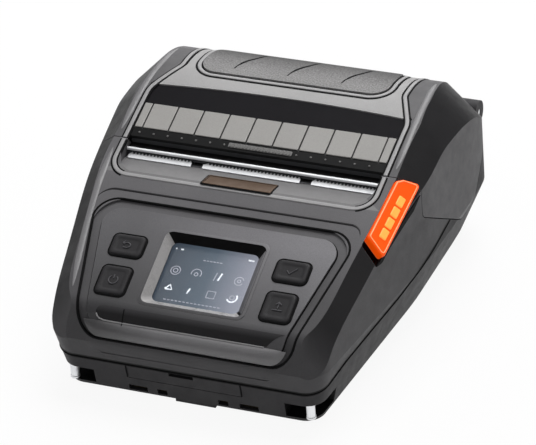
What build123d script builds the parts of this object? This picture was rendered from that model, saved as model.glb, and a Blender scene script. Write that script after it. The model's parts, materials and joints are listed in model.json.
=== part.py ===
from build123d import *
import math
import os

os.makedirs("parts", exist_ok=True)

# Portable label printer with a rear hinged lid. +X is the object's right, the front
# faces -Y, +Z is up, and the origin is on the ground under the middle of the body.
# Names that end in _y, _z or _x are places in this frame, in millimetres.

# Outer body
body_length = 178.0
body_height = 82.0
foot_height = 2.0
wall = 2.4
seam_gap = 0.4
running_gap = 0.35
seat_gap = 0.3
front_y = -body_length / 2
rear_y = body_length / 2

# Side profile of the body
pad_rise = 0.8
crest_z = body_height - pad_rise
chin_slope = 66.0
panel_slope = 22.0
nose_z = 41.4
nose_round = 9.0
brow_y = front_y + 62.0
shoulder_y = front_y + 122.0
rear_round = 39.0

# Plan outline of the body at its belt and at its base
belt_z = 27.0
nose_y = front_y + (nose_z - belt_z) / math.tan(math.radians(chin_slope))
belt_front_half = 61.0
belt_middle_half = 74.5
belt_rear_half = 77.0
base_front_half = 56.5
base_middle_half = 65.5
base_rear_half = 66.5
base_front_inset = 4.0
base_rear_inset = 6.0
plan_middle_y = front_y + 98.0
plan_rear_y = front_y + 146.0

# Slanted facet along each shoulder
crest_front_half = 52.0
crest_middle_half = 64.8
crest_rear_half = 60.0
crest_middle_y = front_y + 100.0
crest_rear_y = rear_y - 8.0

# Mouth, where the printed label comes out
mouth_half = 58.3
mouth_wall = 1.6
mouth_front_y = front_y + 70.0
mouth_corner = 12.0
ledge_rear_y = front_y + 87.2
ledge_front_z = 66.6
ledge_rear_z = 63.5
skirt_z = 60.0

# Control panel, on the sloping front
panel_low_half = 42.8
panel_top_half = 54.5
panel_low_v = -8.0
panel_top_v = 49.5
panel_corner = 8.0
panel_thickness = 2.2
panel_margin = 4.5
panel_margin_depth = 1.0
screen_width = 39.2
screen_height = 30.9
bezel_width = 46.0
bezel_height = 38.8
bezel_depth = 3.0
screen_v = 23.6
key_x = 37.0
top_key_v = 31.0
low_key_v = 13.2
top_key_size = (14.5, 10.5)
low_key_size = (13.0, 14.0)
key_rise = 1.3
key_travel = 0.6
key_flange = 0.9
key_stem = 4.4
keyboard_depth = 8.4
board_thickness = 1.6

# Lid and its hinge
hinge_radius = 5.5
hinge_y = rear_y - hinge_radius - 0.3
hinge_z = 54.5
hinge_pin_radius = 1.5
hinge_pin_gap = 0.05
lid_knuckle_half = 60.5
ear_half = 72.0
cover_front_y = front_y + 120.0
cover_rear_y = front_y + 166.0
cover_wide_half = 60.2
cover_narrow_half = 50.0
pad_half = 43.5
pad_front_y = front_y + 133.0
pad_rear_y = front_y + 163.0
groove_spacing = 25.0
groove_depth = 0.4
cover_thickness = 1.2

# Platen roller, its gears and the drive motor on the left side
platen_y = front_y + 94.6
platen_z = 57.5
platen_radius = 6.5
platen_half = 54.0
shaft_radius = 2.5
bush_radius = 4.0
bush_gap = 0.05
gear_module = 0.75
platen_teeth = 16
idler_small_teeth = 11
idler_large_teeth = 40
pinion_teeth = 10
gear_width = 2.4
wheel_width = 1.6
gear_plane_x = -61.8
wheel_plane_x = -64.6
motor_radius = 8.4
motor_length = 17.0
motor_face_x = -60.0
motor_shaft_radius = 1.0

# Print head
head_face_gap = 0.35
head_thickness = 1.2
head_bottom_z = 54.2
head_top_z = 60.9
head_half = 54.0

# Roll bay
bay_half = 58.4
bay_wall = 1.6
roll_y = front_y + 125.0
roll_z = 50.0
bay_radius = 29.0
bay_top_z = 59.0
bay_lip_y = front_y + 87.8
bay_lip_z = 49.0

# Label guides, moved by a rack and pinion
guide_travel = 30.0
guide_thickness = 1.6
guide_radius = 21.0
rack_module = 0.8
rack_pinion_teeth = 12
rack_thickness = 3.0
rack_front_y = front_y + 87.8
rack_pinion_z = 30.5

# Battery, which slides out through the rear
battery_half = 45.0
battery_length = 64.0
battery_height = 14.0

# Release latch on the right shoulder
lever_length = 29.0
lever_skew = 4.5
lever_thickness = 4.2
lever_proud = 0.9
lever_travel = 4.0

# Strap pins in the front corners
pin_x = 53.4
pin_y = front_y + 5.6
pin_radius = 2.1
loop_low_z = 3.4
loop_high_z = 10.6

# Door over the sockets, low on the front
door_left_x = -27.5
door_right_x = 24.3
door_low_z = 9.6
door_thickness = 1.8
door_notch_left_x = -8.0
door_notch_right_x = 3.0


def place(sketch_plane_x):
    """A sketch plane across the body at the given X, with Y to the right and Z up."""
    return Plane.YZ.offset(sketch_plane_x)


def slab(points, low_x, high_x, radii=None):
    """A solid between two X planes whose side outline is the given (Y, Z) points."""
    with BuildPart() as piece:
        with BuildSketch(place(low_x)):
            with BuildLine():
                if radii is None:
                    Polyline(*points, close=True)
                else:
                    FilletPolyline(*points, radius=radii, close=True)
            make_face()
        extrude(amount=high_x - low_x)
    return piece.part


def rod(centre_y, centre_z, radius, low_x, high_x, hole=0.0):
    """A round bar, or a tube when hole is given, that lies along X."""
    with BuildPart() as piece:
        with BuildSketch(place(low_x)):
            with Locations((centre_y, centre_z)):
                Circle(radius)
                if hole > 0:
                    Circle(hole, mode=Mode.SUBTRACT)
        extrude(amount=high_x - low_x)
    return piece.part


def block(low, high):
    """A box between two corners."""
    with BuildPart() as piece:
        with Locations(((low[0] + high[0]) / 2, (low[1] + high[1]) / 2, (low[2] + high[2]) / 2)):
            Box(high[0] - low[0], high[1] - low[1], high[2] - low[2])
    return piece.part


def combine(first, added=(), removed=(), kept=()):
    """The first solid with others added, taken away or kept in common, in that order."""
    with BuildPart() as piece:
        add(first)
        for other in added:
            add(other)
        for other in removed:
            add(other, mode=Mode.SUBTRACT)
        for other in kept:
            add(other, mode=Mode.INTERSECT)
    return piece.part


def both_sides(solid):
    """A solid on the right and its mirror image on the left."""
    return [solid, solid.mirror(Plane.YZ)]


def save(solid, name):
    """Label a finished piece and write it."""
    solid.label = name
    export_step(solid, f"parts/{name}.step")


# Body form

def front_slope_z(y):
    return nose_z + (y - nose_y) * math.tan(math.radians(panel_slope))


def crest_height(y):
    """Height of the body's top at its middle, before the corners are rounded."""
    brow_z = front_slope_z(brow_y)
    arc_y = rear_y + 1 - rear_round
    if y < nose_y:
        return nose_z + (y - nose_y) * math.tan(math.radians(chin_slope))
    if y < brow_y:
        return front_slope_z(y)
    if y < shoulder_y:
        return brow_z + (y - brow_y) * (crest_z - brow_z) / (shoulder_y - brow_y)
    if y < arc_y:
        return crest_z
    return crest_z - rear_round + math.sqrt(rear_round**2 - (y - arc_y) ** 2)


def crest_half(y):
    """Half width at which the shoulder's facet starts: widest near the mouth."""
    if y < crest_middle_y:
        share = (crest_middle_y - y) / (crest_middle_y - front_y)
        return crest_middle_half - (crest_middle_half - crest_front_half) * share**2
    share = (y - crest_middle_y) / (crest_rear_y - crest_middle_y)
    return crest_middle_half - (crest_middle_half - crest_rear_half) * share**2


def belt_half(y):
    """Half width of the body at its belt."""
    if y < plan_middle_y:
        share = (y - front_y) / (plan_middle_y - front_y)
        return belt_front_half + (belt_middle_half - belt_front_half) * share
    share = min((y - plan_middle_y) / (plan_rear_y - plan_middle_y), 1.0)
    return belt_middle_half + (belt_rear_half - belt_middle_half) * share


def side_profile(inset):
    """The body's side outline, moved inwards by inset. It reaches past the front and base."""
    past = 8.0
    with BuildSketch(Plane.YZ) as profile:
        with BuildLine():
            FilletPolyline(
                (front_y - past, -past),
                (front_y - past, crest_height(front_y - past)),
                (nose_y, nose_z),
                (brow_y, front_slope_z(brow_y)),
                (shoulder_y, crest_z),
                (rear_y + 1, crest_z),
                (rear_y + 1, -past),
                radius=[0, 0, nose_round, 150, 100, rear_round, 0],
                close=True,
            )
        make_face()
        if inset:
            offset(amount=-inset, kind=Kind.INTERSECTION)
    return profile.sketch


def plan_outline(z, front_half, middle_half, rear_half, nose, tail, front_round, rear_corner, inset):
    """The body seen from above at one height, moved inwards by inset."""
    with BuildSketch(Plane.XY.offset(z)) as plan:
        with BuildLine():
            right = FilletPolyline(
                (0, nose),
                (front_half, nose + 0.1),
                (middle_half, plan_middle_y),
                (rear_half, plan_rear_y),
                (rear_half, tail),
                (0, tail),
                radius=[front_round, 200, 200, rear_corner],
            )
            mirror(right, about=Plane.YZ)
        make_face()
        if inset:
            offset(amount=-inset, kind=Kind.INTERSECTION)
    return plan.sketch


def facet_cutter(inset):
    """What is taken off the right shoulder to leave its slanted facet."""
    reach = 8.0
    sections = []
    for distance in (-6, 3, 13, 35, 60, 90, 118, 140, 152, 162, 170, 176, 178.5):
        y = front_y + distance * body_length / 178.0
        top_x = crest_half(y) - inset * math.sqrt(2)
        drop = max(belt_half(y) - top_x, 6.0)
        with BuildSketch(Plane((0, y, 0), x_dir=(1, 0, 0), z_dir=(0, -1, 0))) as section:
            Polygon(
                (top_x - reach, crest_height(y) + reach),
                (top_x + drop + reach, crest_height(y) - drop - reach),
                (top_x + drop + reach, crest_height(y) + reach),
                align=None,
            )
        sections.append(section.sketch)
    with BuildPart() as cutter:
        loft(sections)
    return cutter.part


def body_form(inset):
    """The whole outer form, or a smaller one inside it. Negative inset gives a larger one."""
    base = plan_outline(
        foot_height + inset, base_front_half, base_middle_half, base_rear_half,
        front_y + base_front_inset, rear_y - base_rear_inset, 8, 16, inset,
    )
    belt = plan_outline(
        belt_z, belt_front_half, belt_middle_half, belt_rear_half,
        front_y, rear_y, 10, 20, inset,
    )
    with BuildPart() as plan:
        loft([base, belt], ruled=True)
        extrude(to_extrude=belt, amount=body_height, dir=(0, 0, 1))
    facet = facet_cutter(inset)
    with BuildPart() as form:
        extrude(to_extrude=side_profile(inset), amount=body_length, dir=(1, 0, 0), both=True)
        add(plan.part, mode=Mode.INTERSECT)
        add(facet, mode=Mode.SUBTRACT)
        add(facet.mirror(Plane.YZ), mode=Mode.SUBTRACT)
    return form.part


outer_form = body_form(0)
inner_form = body_form(wall)

# Where the shell is parted. Each region is a solid across the whole body.

upper_region_points = [
    (front_y - 20, 17.2), (front_y + 1, 17.2), (front_y + 24, 21.0), (front_y + 69, 23.5),
    (front_y + 111, 31.0), (front_y + 122, 33.0), (front_y + 122, 120), (front_y - 20, 120),
]
lid_region_points = [
    (front_y + 87.5, 120), (front_y + 87.5, 72.5), (front_y + 92.5, 64.0), (front_y + 92.5, 50.5),
    (front_y + 141.5, 18.6), (front_y + 164.5, 46.0), (hinge_y - hinge_radius - 0.8, hinge_z - 1.5),
    (hinge_y, hinge_z), (rear_y + 20, hinge_z), (rear_y + 20, 120),
]


def region(points, grow=0.0):
    """A solid across the whole body from (Y, Z) points, grown by the gap at a seam."""
    with BuildPart() as piece:
        with BuildSketch(place(-body_length)):
            Polygon(*points, align=None)
            if grow:
                offset(amount=grow, kind=Kind.INTERSECTION)
        extrude(amount=2 * body_length)
    return piece.part


def lid_region(grow=0.0):
    with BuildPart() as piece:
        with BuildSketch(place(-body_length)):
            with BuildLine():
                FilletPolyline(*lid_region_points, radius=[0, 3, 3, 4, 9, 4, 0, 0, 0, 0], close=True)
            make_face()
            if grow:
                offset(amount=grow, kind=Kind.INTERSECTION)
        extrude(amount=2 * body_length)
    return piece.part


def mouth_void(grow=0.0):
    """The open space over the ledge and between the shoulders, back to the lid's cover."""
    slope = (ledge_front_z - ledge_rear_z) / (ledge_rear_y - mouth_front_y)
    start_y = mouth_front_y - 10
    start_z = ledge_front_z + 10 * slope
    side = mouth_half + (mouth_wall if grow else 0)
    with BuildPart() as space:
        with BuildSketch(place(-side)):
            Polygon(
                (start_y, start_z - grow), (ledge_rear_y - grow, ledge_rear_z - grow),
                (ledge_rear_y - grow, -20), (cover_front_y + 4, -20),
                (cover_front_y + 4, 120), (start_y, 120),
                align=None,
            )
        extrude(amount=2 * side)
        with BuildSketch(Plane.XY.offset(-20)):
            with Locations((0, (mouth_front_y - grow + rear_y) / 2)):
                RectangleRounded(2 * side, rear_y - mouth_front_y + grow, mouth_corner)
        extrude(amount=150, mode=Mode.INTERSECT)
    return space.part


plain_shell = combine(outer_form, removed=[inner_form])
mouth = mouth_void()
mouth_grown = mouth_void(wall)


def mouth_shell(lining_low_z):
    """The shell with the mouth cut in it, and a lining round the mouth down to a height."""
    band = block((-100, front_y, lining_low_z), (100, cover_front_y, 120))
    lining = combine(mouth_grown, removed=[mouth], kept=[band, outer_form])
    return combine(combine(plain_shell, removed=[mouth]), added=[lining])


# The control panel's plane: v runs up the slope from the nose, w stands out of it.
slope = math.radians(panel_slope)
panel_plane = Plane(
    origin=(0, nose_y, nose_z), x_dir=(1, 0, 0), z_dir=(0, -math.sin(slope), math.cos(slope))
)


def panel_prism(grow, low_w, high_w):
    """The panel's outline, grown all round, between two depths along the panel's normal."""
    with BuildPart() as prism:
        with BuildSketch(panel_plane.offset(low_w)) as outline:
            Polygon(
                (-panel_low_half, panel_low_v), (panel_low_half, panel_low_v),
                (panel_top_half, panel_top_v), (-panel_top_half, panel_top_v),
                align=None,
            )
            fillet(outline.vertices(), panel_corner)
            if grow:
                offset(amount=grow)
        extrude(amount=high_w - low_w)
    return prism.part


def panel_block(width, height, centre_v, low_w, high_w, corner=0.0, centre_x=0.0):
    """A plate parallel to the panel."""
    with BuildPart() as plate:
        with BuildSketch(panel_plane.offset(low_w)):
            with Locations((centre_x, centre_v)):
                if corner > 0:
                    RectangleRounded(width, height, corner)
                else:
                    Rectangle(width, height)
        extrude(amount=high_w - low_w)
    return plate.part


margin_form = body_form(panel_margin_depth)

# Upper case: front shell with the panel's recess, the ledge and the wall under it
upper_region = region(upper_region_points)
latch_y = front_y + 80.0
latch_z = 31.0
latch_radius = 1.8
latch_bearings = both_sides(
    combine(
        block((46, latch_y - 3.2, latch_z - 3.2), (50, ledge_rear_y - wall + 0.2, latch_z + 3.2)),
        removed=[rod(latch_y, latch_z, latch_radius + 0.05, 40, 60)],
    )
)
bulkhead = block((-57.8, ledge_rear_y - wall, 27.5), (57.8, ledge_rear_y, ledge_rear_z - 1.0))
head_window = block(
    (-head_half - 1, ledge_rear_y - wall - 1, 51.5), (head_half + 1, ledge_rear_y + 1, 61.3)
)
margin_cut = combine(panel_prism(panel_margin, -30, 30), removed=[margin_form])

# The latch lever lies on the right shoulder's facet, along s, and t runs down the facet.
lever_y = front_y + 70.4
lever_x = crest_half(lever_y)
lever_z = crest_height(lever_y)
ahead_y = front_y + 84.0
behind_y = front_y + 56.0
along = Vector(
    crest_half(ahead_y) - crest_half(behind_y), ahead_y - behind_y,
    crest_height(ahead_y) - crest_height(behind_y),
).normalized()
down = Vector(1, 0, -1).normalized()
lever_normal = down.cross(along) * -1
if lever_normal.Z < 0:
    lever_normal = lever_normal * -1
lever_plane = Plane(origin=(lever_x, lever_y, lever_z), x_dir=along, z_dir=lever_normal)
facet_width = (belt_half(lever_y) - lever_x) * math.sqrt(2)


def lever_prism(grow, tail, low_w, high_w):
    """The lever's slanted outline, grown all round and lengthened at its front by tail."""
    low = facet_width + 0.6
    half = lever_length / 2
    with BuildPart() as prism:
        with BuildSketch(lever_plane.offset(low_w)) as outline:
            Polygon(
                (-half - tail - 0.5, -0.3), (half + 1.5, -0.3), (half + lever_skew, -3.0),
                (half + lever_skew + 3.0, -low), (-half - tail - lever_skew, -low),
                align=None,
            )
            fillet(outline.vertices(), 1.2)
            if grow:
                offset(amount=grow)
        extrude(amount=high_w - low_w)
    return prism.part


lever_slot = lever_prism(running_gap, lever_travel + 0.3, -9, 9)

bush_path = block(
    (mouth_half - 4, platen_y - bush_radius - 0.6, skirt_z - 8),
    (mouth_half + mouth_wall + 2, platen_y + 10, 120),
)
upper_case = combine(
    combine(mouth_shell(skirt_z), added=[bulkhead, *latch_bearings], kept=[upper_region]),
    removed=[
        lid_region(seam_gap), margin_cut, head_window, lever_slot, *both_sides(bush_path),
        panel_prism(running_gap, -30, 30),
    ],
)
save(upper_case, "upper_case")

# Control panel: a plate that follows the front, with a deep bezel and four key holes
key_places = {
    "key_back": (-key_x, top_key_v, top_key_size),
    "key_power": (-key_x, low_key_v, low_key_size),
    "key_enter": (key_x, top_key_v, top_key_size),
    "key_feed": (key_x, low_key_v, low_key_size),
}
with BuildPart() as bezel_hole:
    with BuildSketch(panel_plane.offset(2)) as mouth_of_bezel:
        with Locations((0, screen_v)):
            RectangleRounded(bezel_width + 2.5, bezel_height + 2.5, 3.2)
    with BuildSketch(panel_plane.offset(-bezel_depth)) as floor_of_bezel:
        with Locations((0, screen_v)):
            RectangleRounded(screen_width, screen_height, 1.2)
    loft()
    with BuildSketch(panel_plane.offset(-bezel_depth - 3)):
        with Locations((0, screen_v)):
            RectangleRounded(screen_width, screen_height, 1.2)
    extrude(amount=3.5)
bezel_rim = panel_block(
    bezel_width + 5, bezel_height + 5, screen_v, -bezel_depth - 0.8, -panel_thickness + 0.8, 2.5
)
panel_skin = combine(
    combine(outer_form, removed=[inner_form]), kept=[panel_prism(0, -30, 30)]
)
key_holes = [
    panel_block(size[0] + 2 * running_gap, size[1] + 2 * running_gap, v, -12, 12, 2.4, x)
    for x, v, size in key_places.values()
]
control_panel = combine(
    combine(panel_skin, added=[bezel_rim]), removed=[bezel_hole.part, *key_holes]
)
save(control_panel, "control_panel")

lens_depth = bezel_depth + 0.8
save(
    panel_block(bezel_width, bezel_height, screen_v, -lens_depth - 0.9, -lens_depth, 2.0),
    "panel_lens",
)
save(
    panel_block(
        bezel_width + 3, bezel_height + 3, screen_v, -keyboard_depth + 0.1, -lens_depth - 1.0, 1.0
    ),
    "display_module",
)

# Key board under the panel, with one switch under each key
key_board_half = 46.0
with BuildPart() as key_board:
    with BuildSketch(panel_plane.offset(-keyboard_depth - board_thickness)):
        with Locations((0, 22.0)):
            RectangleRounded(2 * key_board_half, 42, 2)
    extrude(amount=board_thickness)
    with BuildSketch(panel_plane.offset(-keyboard_depth)):
        with Locations(*[(x, v) for x, v, size in key_places.values()]):
            Rectangle(6, 6)
    extrude(amount=keyboard_depth - panel_thickness - seat_gap - key_stem - key_travel - 0.3)
save(key_board.part, "key_board")


def make_key(x, v, size):
    """A key with a bevelled cap, a flange under the panel and a stem over its switch."""
    with BuildPart() as key:
        with BuildSketch(panel_plane.offset(-panel_thickness - seat_gap)):
            with Locations((x, v)):
                RectangleRounded(size[0], size[1], 2.4)
        extrude(amount=panel_thickness + seat_gap + key_rise)
        cap = key.faces().sort_by(Axis((0, 0, 0), panel_plane.z_dir))[-1]
        chamfer(cap.edges(), length=0.9, length2=1.1, reference=cap)
        with BuildSketch(panel_plane.offset(-panel_thickness - seat_gap - key_flange)):
            with Locations((x, v)):
                RectangleRounded(size[0] + 2.4, size[1] + 2.4, 2.4)
        extrude(amount=key_flange)
        with BuildSketch(panel_plane.offset(-panel_thickness - seat_gap - key_stem)):
            with Locations((x, v)):
                Rectangle(4, 4)
        extrude(amount=key_stem)
    return key.part


for key_name, (x, v, size) in key_places.items():
    save(make_key(x, v, size), key_name)

# Latch lever, with raised marks and a leg that reaches the latch bar
half = lever_length / 2
lever_body = lever_prism(0, 0, -lever_thickness + lever_proud, lever_proud)
with BuildPart() as lever_marks:
    with BuildSketch(lever_plane.offset(lever_proud - 0.1)):
        with Locations(*[(-9 + 6.2 * n, -facet_width * 0.62) for n in range(4)]):
            Rectangle(4.2, 3.2)
    extrude(amount=0.55)
with BuildPart() as lever_leg:
    with BuildSketch(lever_plane.offset(-9.0)):
        with Locations((4, -facet_width * 0.45)):
            Rectangle(6, 4)
    extrude(amount=9.0 - lever_thickness + lever_proud + 0.2)
save(combine(lever_body, added=[lever_marks.part, lever_leg.part]), "latch_lever")

# Lower case: tub with the corner loops, the battery bay, bosses and the hinge ears
knuckle_clear_half = lid_knuckle_half + seam_gap
barrel_clear = combine(
    rod(hinge_y, hinge_z, hinge_radius + seam_gap, -knuckle_clear_half, knuckle_clear_half),
    added=[
        block(
            (-knuckle_clear_half, hinge_y, hinge_z - hinge_radius - 1),
            (knuckle_clear_half, rear_y + 5, hinge_z + 5),
        )
    ],
)
ear_block = slab(
    [
        (hinge_y - hinge_radius, hinge_z), (hinge_y - hinge_radius - 5, 38),
        (rear_y - wall, 38), (hinge_y + hinge_radius, hinge_z),
    ],
    knuckle_clear_half, ear_half,
)
ear = combine(
    combine(ear_block, kept=[outer_form]),
    added=[rod(hinge_y, hinge_z, hinge_radius, knuckle_clear_half, ear_half)],
)
ears = both_sides(ear)
corner = combine(
    inner_form, kept=[block((pin_x - 14, front_y - 5, 0), (100, front_y + 22, loop_high_z + 2.5))]
)
corner_void = combine(
    block((pin_x - 10.4, front_y - 5, loop_low_z), (100, front_y + 19, loop_high_z)),
    removed=[block((0, pin_y + pin_radius + 4.4, 0), (pin_x - 3.2, front_y + 40, 40))],
)
boss_places = [(-40, front_y + 40), (40, front_y + 40), (-54, front_y + 96), (54, front_y + 96)]
boss_top_z = 14.0
screw_radius = 1.3
with BuildPart() as bosses:
    with BuildSketch(Plane.XY.offset(foot_height + wall - 0.2)):
        with Locations(*boss_places):
            Circle(3.4)
    extrude(amount=boss_top_z - foot_height - wall + 0.2)
with BuildPart() as screw_holes:
    with BuildSketch(Plane.XY):
        with Locations(*boss_places):
            Circle(screw_radius + 0.05)
    extrude(amount=boss_top_z - 1.0)
    with BuildSketch(Plane.XY):
        with Locations(*boss_places):
            Circle(2.9)
    extrude(amount=foot_height + 1.6)
foot_places = [(-44, front_y + 16), (44, front_y + 16), (-50, rear_y - 24), (50, rear_y - 24)]
foot_seat_z = foot_height + 0.8


def foot_pads(grow, top_z):
    with BuildPart() as pads:
        with BuildSketch(Plane.XY):
            with Locations(*foot_places):
                RectangleRounded(16 + 2 * grow, 9 + 2 * grow, 2.5)
        extrude(amount=top_z)
    return pads.part


battery_low_z = foot_height + wall + seat_gap
battery_front_y = rear_y - battery_length
battery_bay = block(
    (-battery_half - seat_gap, battery_front_y - 2, foot_height + wall),
    (battery_half + seat_gap, rear_y + 5, battery_low_z + battery_height + seat_gap),
)
bay_rib = block(
    (battery_half + seat_gap, battery_front_y - 2, foot_height + wall - 0.2),
    (battery_half + seat_gap + 1.6, rear_y - 12, battery_low_z + battery_height - 4),
)
contact_widths = [(-23.5, 8.5), (-12.5, 4.5), (15.0, 4.5), (26.6, 8.5)]
contact_low_z = foot_height + 0.9
contact_high_z = foot_height + 3.6
contact_slots = [
    block((x - w / 2, front_y - 2, contact_low_z), (x + w / 2, front_y + 9, contact_high_z))
    for x, w in contact_widths
]
door_top_z = 17.2 - seam_gap
door_opening = block((door_left_x, front_y - 5, door_low_z), (door_right_x, front_y + 8, 20))
centre_tab = block((-7, front_y + 4.2, 0.5), (11, front_y + 9, foot_height + 0.5))

lower_shell = combine(
    plain_shell, removed=[region(upper_region_points, seam_gap), lid_region(seam_gap)]
)
lower_case = combine(
    combine(
        lower_shell,
        added=[*both_sides(corner), bosses.part, *both_sides(bay_rib), centre_tab, *ears],
    ),
    removed=[
        *both_sides(corner_void), screw_holes.part, foot_pads(0.1, foot_seat_z), battery_bay,
        *contact_slots, door_opening, barrel_clear,
        rod(hinge_y, hinge_z, hinge_pin_radius + hinge_pin_gap, -ear_half - 9, ear_half + 9),
    ],
)
save(lower_case, "lower_case")
save(foot_pads(0, foot_seat_z), "rubber_feet")

with BuildPart() as case_screws:
    with BuildSketch(Plane.XY.offset(foot_height + 0.2)):
        with Locations(*boss_places):
            Circle(2.6)
    extrude(amount=1.35)
    with BuildSketch(Plane.XY.offset(foot_height + 1.5)):
        with Locations(*boss_places):
            Circle(screw_radius)
    extrude(amount=9.0)
save(case_screws.part, "case_screws")

with BuildPart() as strap_pins:
    with BuildSketch(Plane.XY.offset(loop_low_z)):
        with Locations((pin_x, pin_y), (-pin_x, pin_y)):
            Circle(pin_radius)
    extrude(amount=loop_high_z - loop_low_z)
save(strap_pins.part, "strap_pins")

# Cradle contacts behind the slots in the front
with BuildPart() as contacts:
    for x, w in contact_widths:
        with Locations((x, front_y + 6.6, (contact_low_z + contact_high_z) / 2)):
            Box(w - 0.6, 2.0, contact_high_z - contact_low_z - 0.5)
save(contacts.part, "dock_contacts")

# Socket door, hinged along its lower edge
door_form = body_form(door_thickness)
socket_door = combine(
    combine(outer_form, removed=[door_form]),
    kept=[
        block(
            (door_left_x + seat_gap, front_y - 5, door_low_z + seat_gap),
            (door_right_x - seat_gap, front_y + 12, door_top_z),
        )
    ],
    removed=[
        block((door_notch_left_x, front_y - 5, door_top_z - 2.2), (door_notch_right_x, front_y + 12, 30))
    ],
)
save(socket_door, "socket_door")

# Main board low in the front, with sockets that face the door
board_z = foot_height + wall + 3.2
with BuildPart() as main_board:
    with BuildSketch(Plane.XY.offset(board_z)):
        with Locations((0, front_y + 42)):
            RectangleRounded(78, 66, 2)
        with Locations(*boss_places):
            Circle(4.0, mode=Mode.SUBTRACT)
    extrude(amount=board_thickness)
    with BuildSketch(Plane.XY.offset(board_z + board_thickness)):
        with Locations((-18, front_y + 44)):
            Rectangle(14, 14)
        with Locations((16, front_y + 50)):
            Rectangle(10, 16)
        with Locations((0, front_y + 66)):
            Rectangle(30, 5)
    extrude(amount=2.4)
save(main_board.part, "main_board")

with BuildPart() as sockets:
    with Locations((-14, front_y + 12.0, board_z + board_thickness + 2.0)):
        Box(12.0, 10.0, 4.0)
    with Locations((12, front_y + 12.0, board_z + board_thickness + 2.0)):
        Box(9.0, 10.0, 4.0)
    with Locations((-14, front_y + 7.5, board_z + board_thickness + 2.0)):
        Box(9.6, 3.0, 2.4, mode=Mode.SUBTRACT)
    with Locations((12, front_y + 7.5, board_z + board_thickness + 2.0)):
        Box(7.0, 3.0, 2.4, mode=Mode.SUBTRACT)
save(sockets.part, "sockets")

# Battery pack
battery = combine(
    block(
        (-battery_half, battery_front_y, battery_low_z),
        (battery_half, rear_y + 5, battery_low_z + battery_height),
    ),
    kept=[outer_form],
)
grip_slots = [
    block((x - 6, rear_y - 9.2, battery_low_z + 4), (x + 6, rear_y + 5, battery_low_z + 5.4))
    for x in (-20, 0, 20)
]
save(combine(battery, removed=grip_slots), "battery_pack")

# Roll bay liner
bay_rear_y = roll_y + bay_radius
with BuildPart() as bay:
    with BuildSketch(place(-bay_half - bay_wall)) as bay_outer:
        with BuildLine():
            FilletPolyline(
                (bay_lip_y - 0.2, bay_top_z), (bay_lip_y - 0.2, bay_lip_z - 4),
                (roll_y - 22, roll_z - bay_radius - bay_wall),
                (roll_y + bay_radius + bay_wall, roll_z - bay_radius - bay_wall),
                (roll_y + bay_radius + bay_wall, bay_top_z),
                radius=[0, 3, 18, bay_radius - 1, 0],
                close=True,
            )
        make_face()
    extrude(amount=2 * (bay_half + bay_wall))
    with BuildSketch(place(-bay_half)) as bay_inner:
        with BuildLine():
            FilletPolyline(
                (bay_lip_y - 5, 80), (bay_lip_y - 5, bay_lip_z), (bay_lip_y + 1.6, bay_lip_z),
                (roll_y - 21, roll_z - bay_radius), (roll_y + bay_radius, roll_z - bay_radius),
                (roll_y + bay_radius, 80),
                radius=[0, 0, 1, 18, bay_radius - 2, 0],
                close=True,
            )
        make_face()
    extrude(amount=2 * bay_half, mode=Mode.SUBTRACT)

notch = combine(
    rod(platen_y, platen_z, bush_radius + seat_gap, -100, 100),
    added=[
        block(
            (-100, platen_y - bush_radius - seat_gap, platen_z),
            (100, platen_y + bush_radius + seat_gap, bay_top_z + 5),
        )
    ],
)
rack_pitch_radius = rack_module * rack_pinion_teeth / 2
arm_thickness = 2.4
left_arm_z = rack_pinion_z + rack_pitch_radius + rack_module * 1.25 + arm_thickness / 2
right_arm_z = rack_pinion_z - rack_pitch_radius - rack_module * 1.25 - arm_thickness / 2
guide_x = bay_half - 0.4
slot_inner_x = guide_x - guide_thickness - guide_travel - 0.6
guide_slots = [
    block(
        (-bay_half, bay_lip_y - 2, left_arm_z - arm_thickness / 2 - seat_gap),
        (-slot_inner_x, roll_y - 8, left_arm_z + arm_thickness / 2 + seat_gap),
    ),
    block(
        (slot_inner_x, bay_lip_y - 2, right_arm_z - arm_thickness / 2 - seat_gap),
        (bay_half, roll_y - 8, right_arm_z + arm_thickness / 2 + seat_gap),
    ),
]
rack_rear_y = rack_front_y + rack_thickness
with BuildPart() as pinion_pin:
    with BuildSketch(Plane.XZ.offset(-rack_front_y)):
        with Locations((0, rack_pinion_z)):
            Circle(1.5)
    extrude(amount=-9.0)
    with BuildSketch(Plane.XZ.offset(-rack_rear_y - 0.3)):
        with Locations((0, rack_pinion_z)):
            Circle(3.0)
    extrude(amount=-6.0)
roll_bay = combine(
    combine(bay.part, removed=[notch, *guide_slots]), added=[pinion_pin.part]
)
save(roll_bay, "roll_bay")


def gear_outline(module, teeth, phase, addendum=0.8, dedendum=1.15, backlash=0.08):
    """Points round an involute gear: root, pitch and tip on each flank of each tooth."""
    pitch_radius = module * teeth / 2
    base_radius = pitch_radius * math.cos(math.radians(20))
    involute = math.tan(math.radians(20)) - math.radians(20)
    points = []
    for tooth in range(teeth):
        middle = phase + tooth * 2 * math.pi / teeth
        flank = []
        for radius in (
            pitch_radius - dedendum * module,
            max(base_radius, pitch_radius - 0.5 * module),
            pitch_radius,
            pitch_radius + 0.5 * module,
            pitch_radius + addendum * module,
        ):
            pressure = math.acos(min(base_radius / radius, 1.0)) if radius > base_radius else 0.0
            half_angle = (math.pi * module / 2 - backlash) / (2 * pitch_radius)
            half_angle += involute - (math.tan(pressure) - pressure)
            flank.append((radius, half_angle))
        for radius, half_angle in flank:
            points.append((radius, middle - half_angle))
        for radius, half_angle in reversed(flank):
            points.append((radius, middle + half_angle))
    return [(radius * math.cos(angle), radius * math.sin(angle)) for radius, angle in points]


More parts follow.
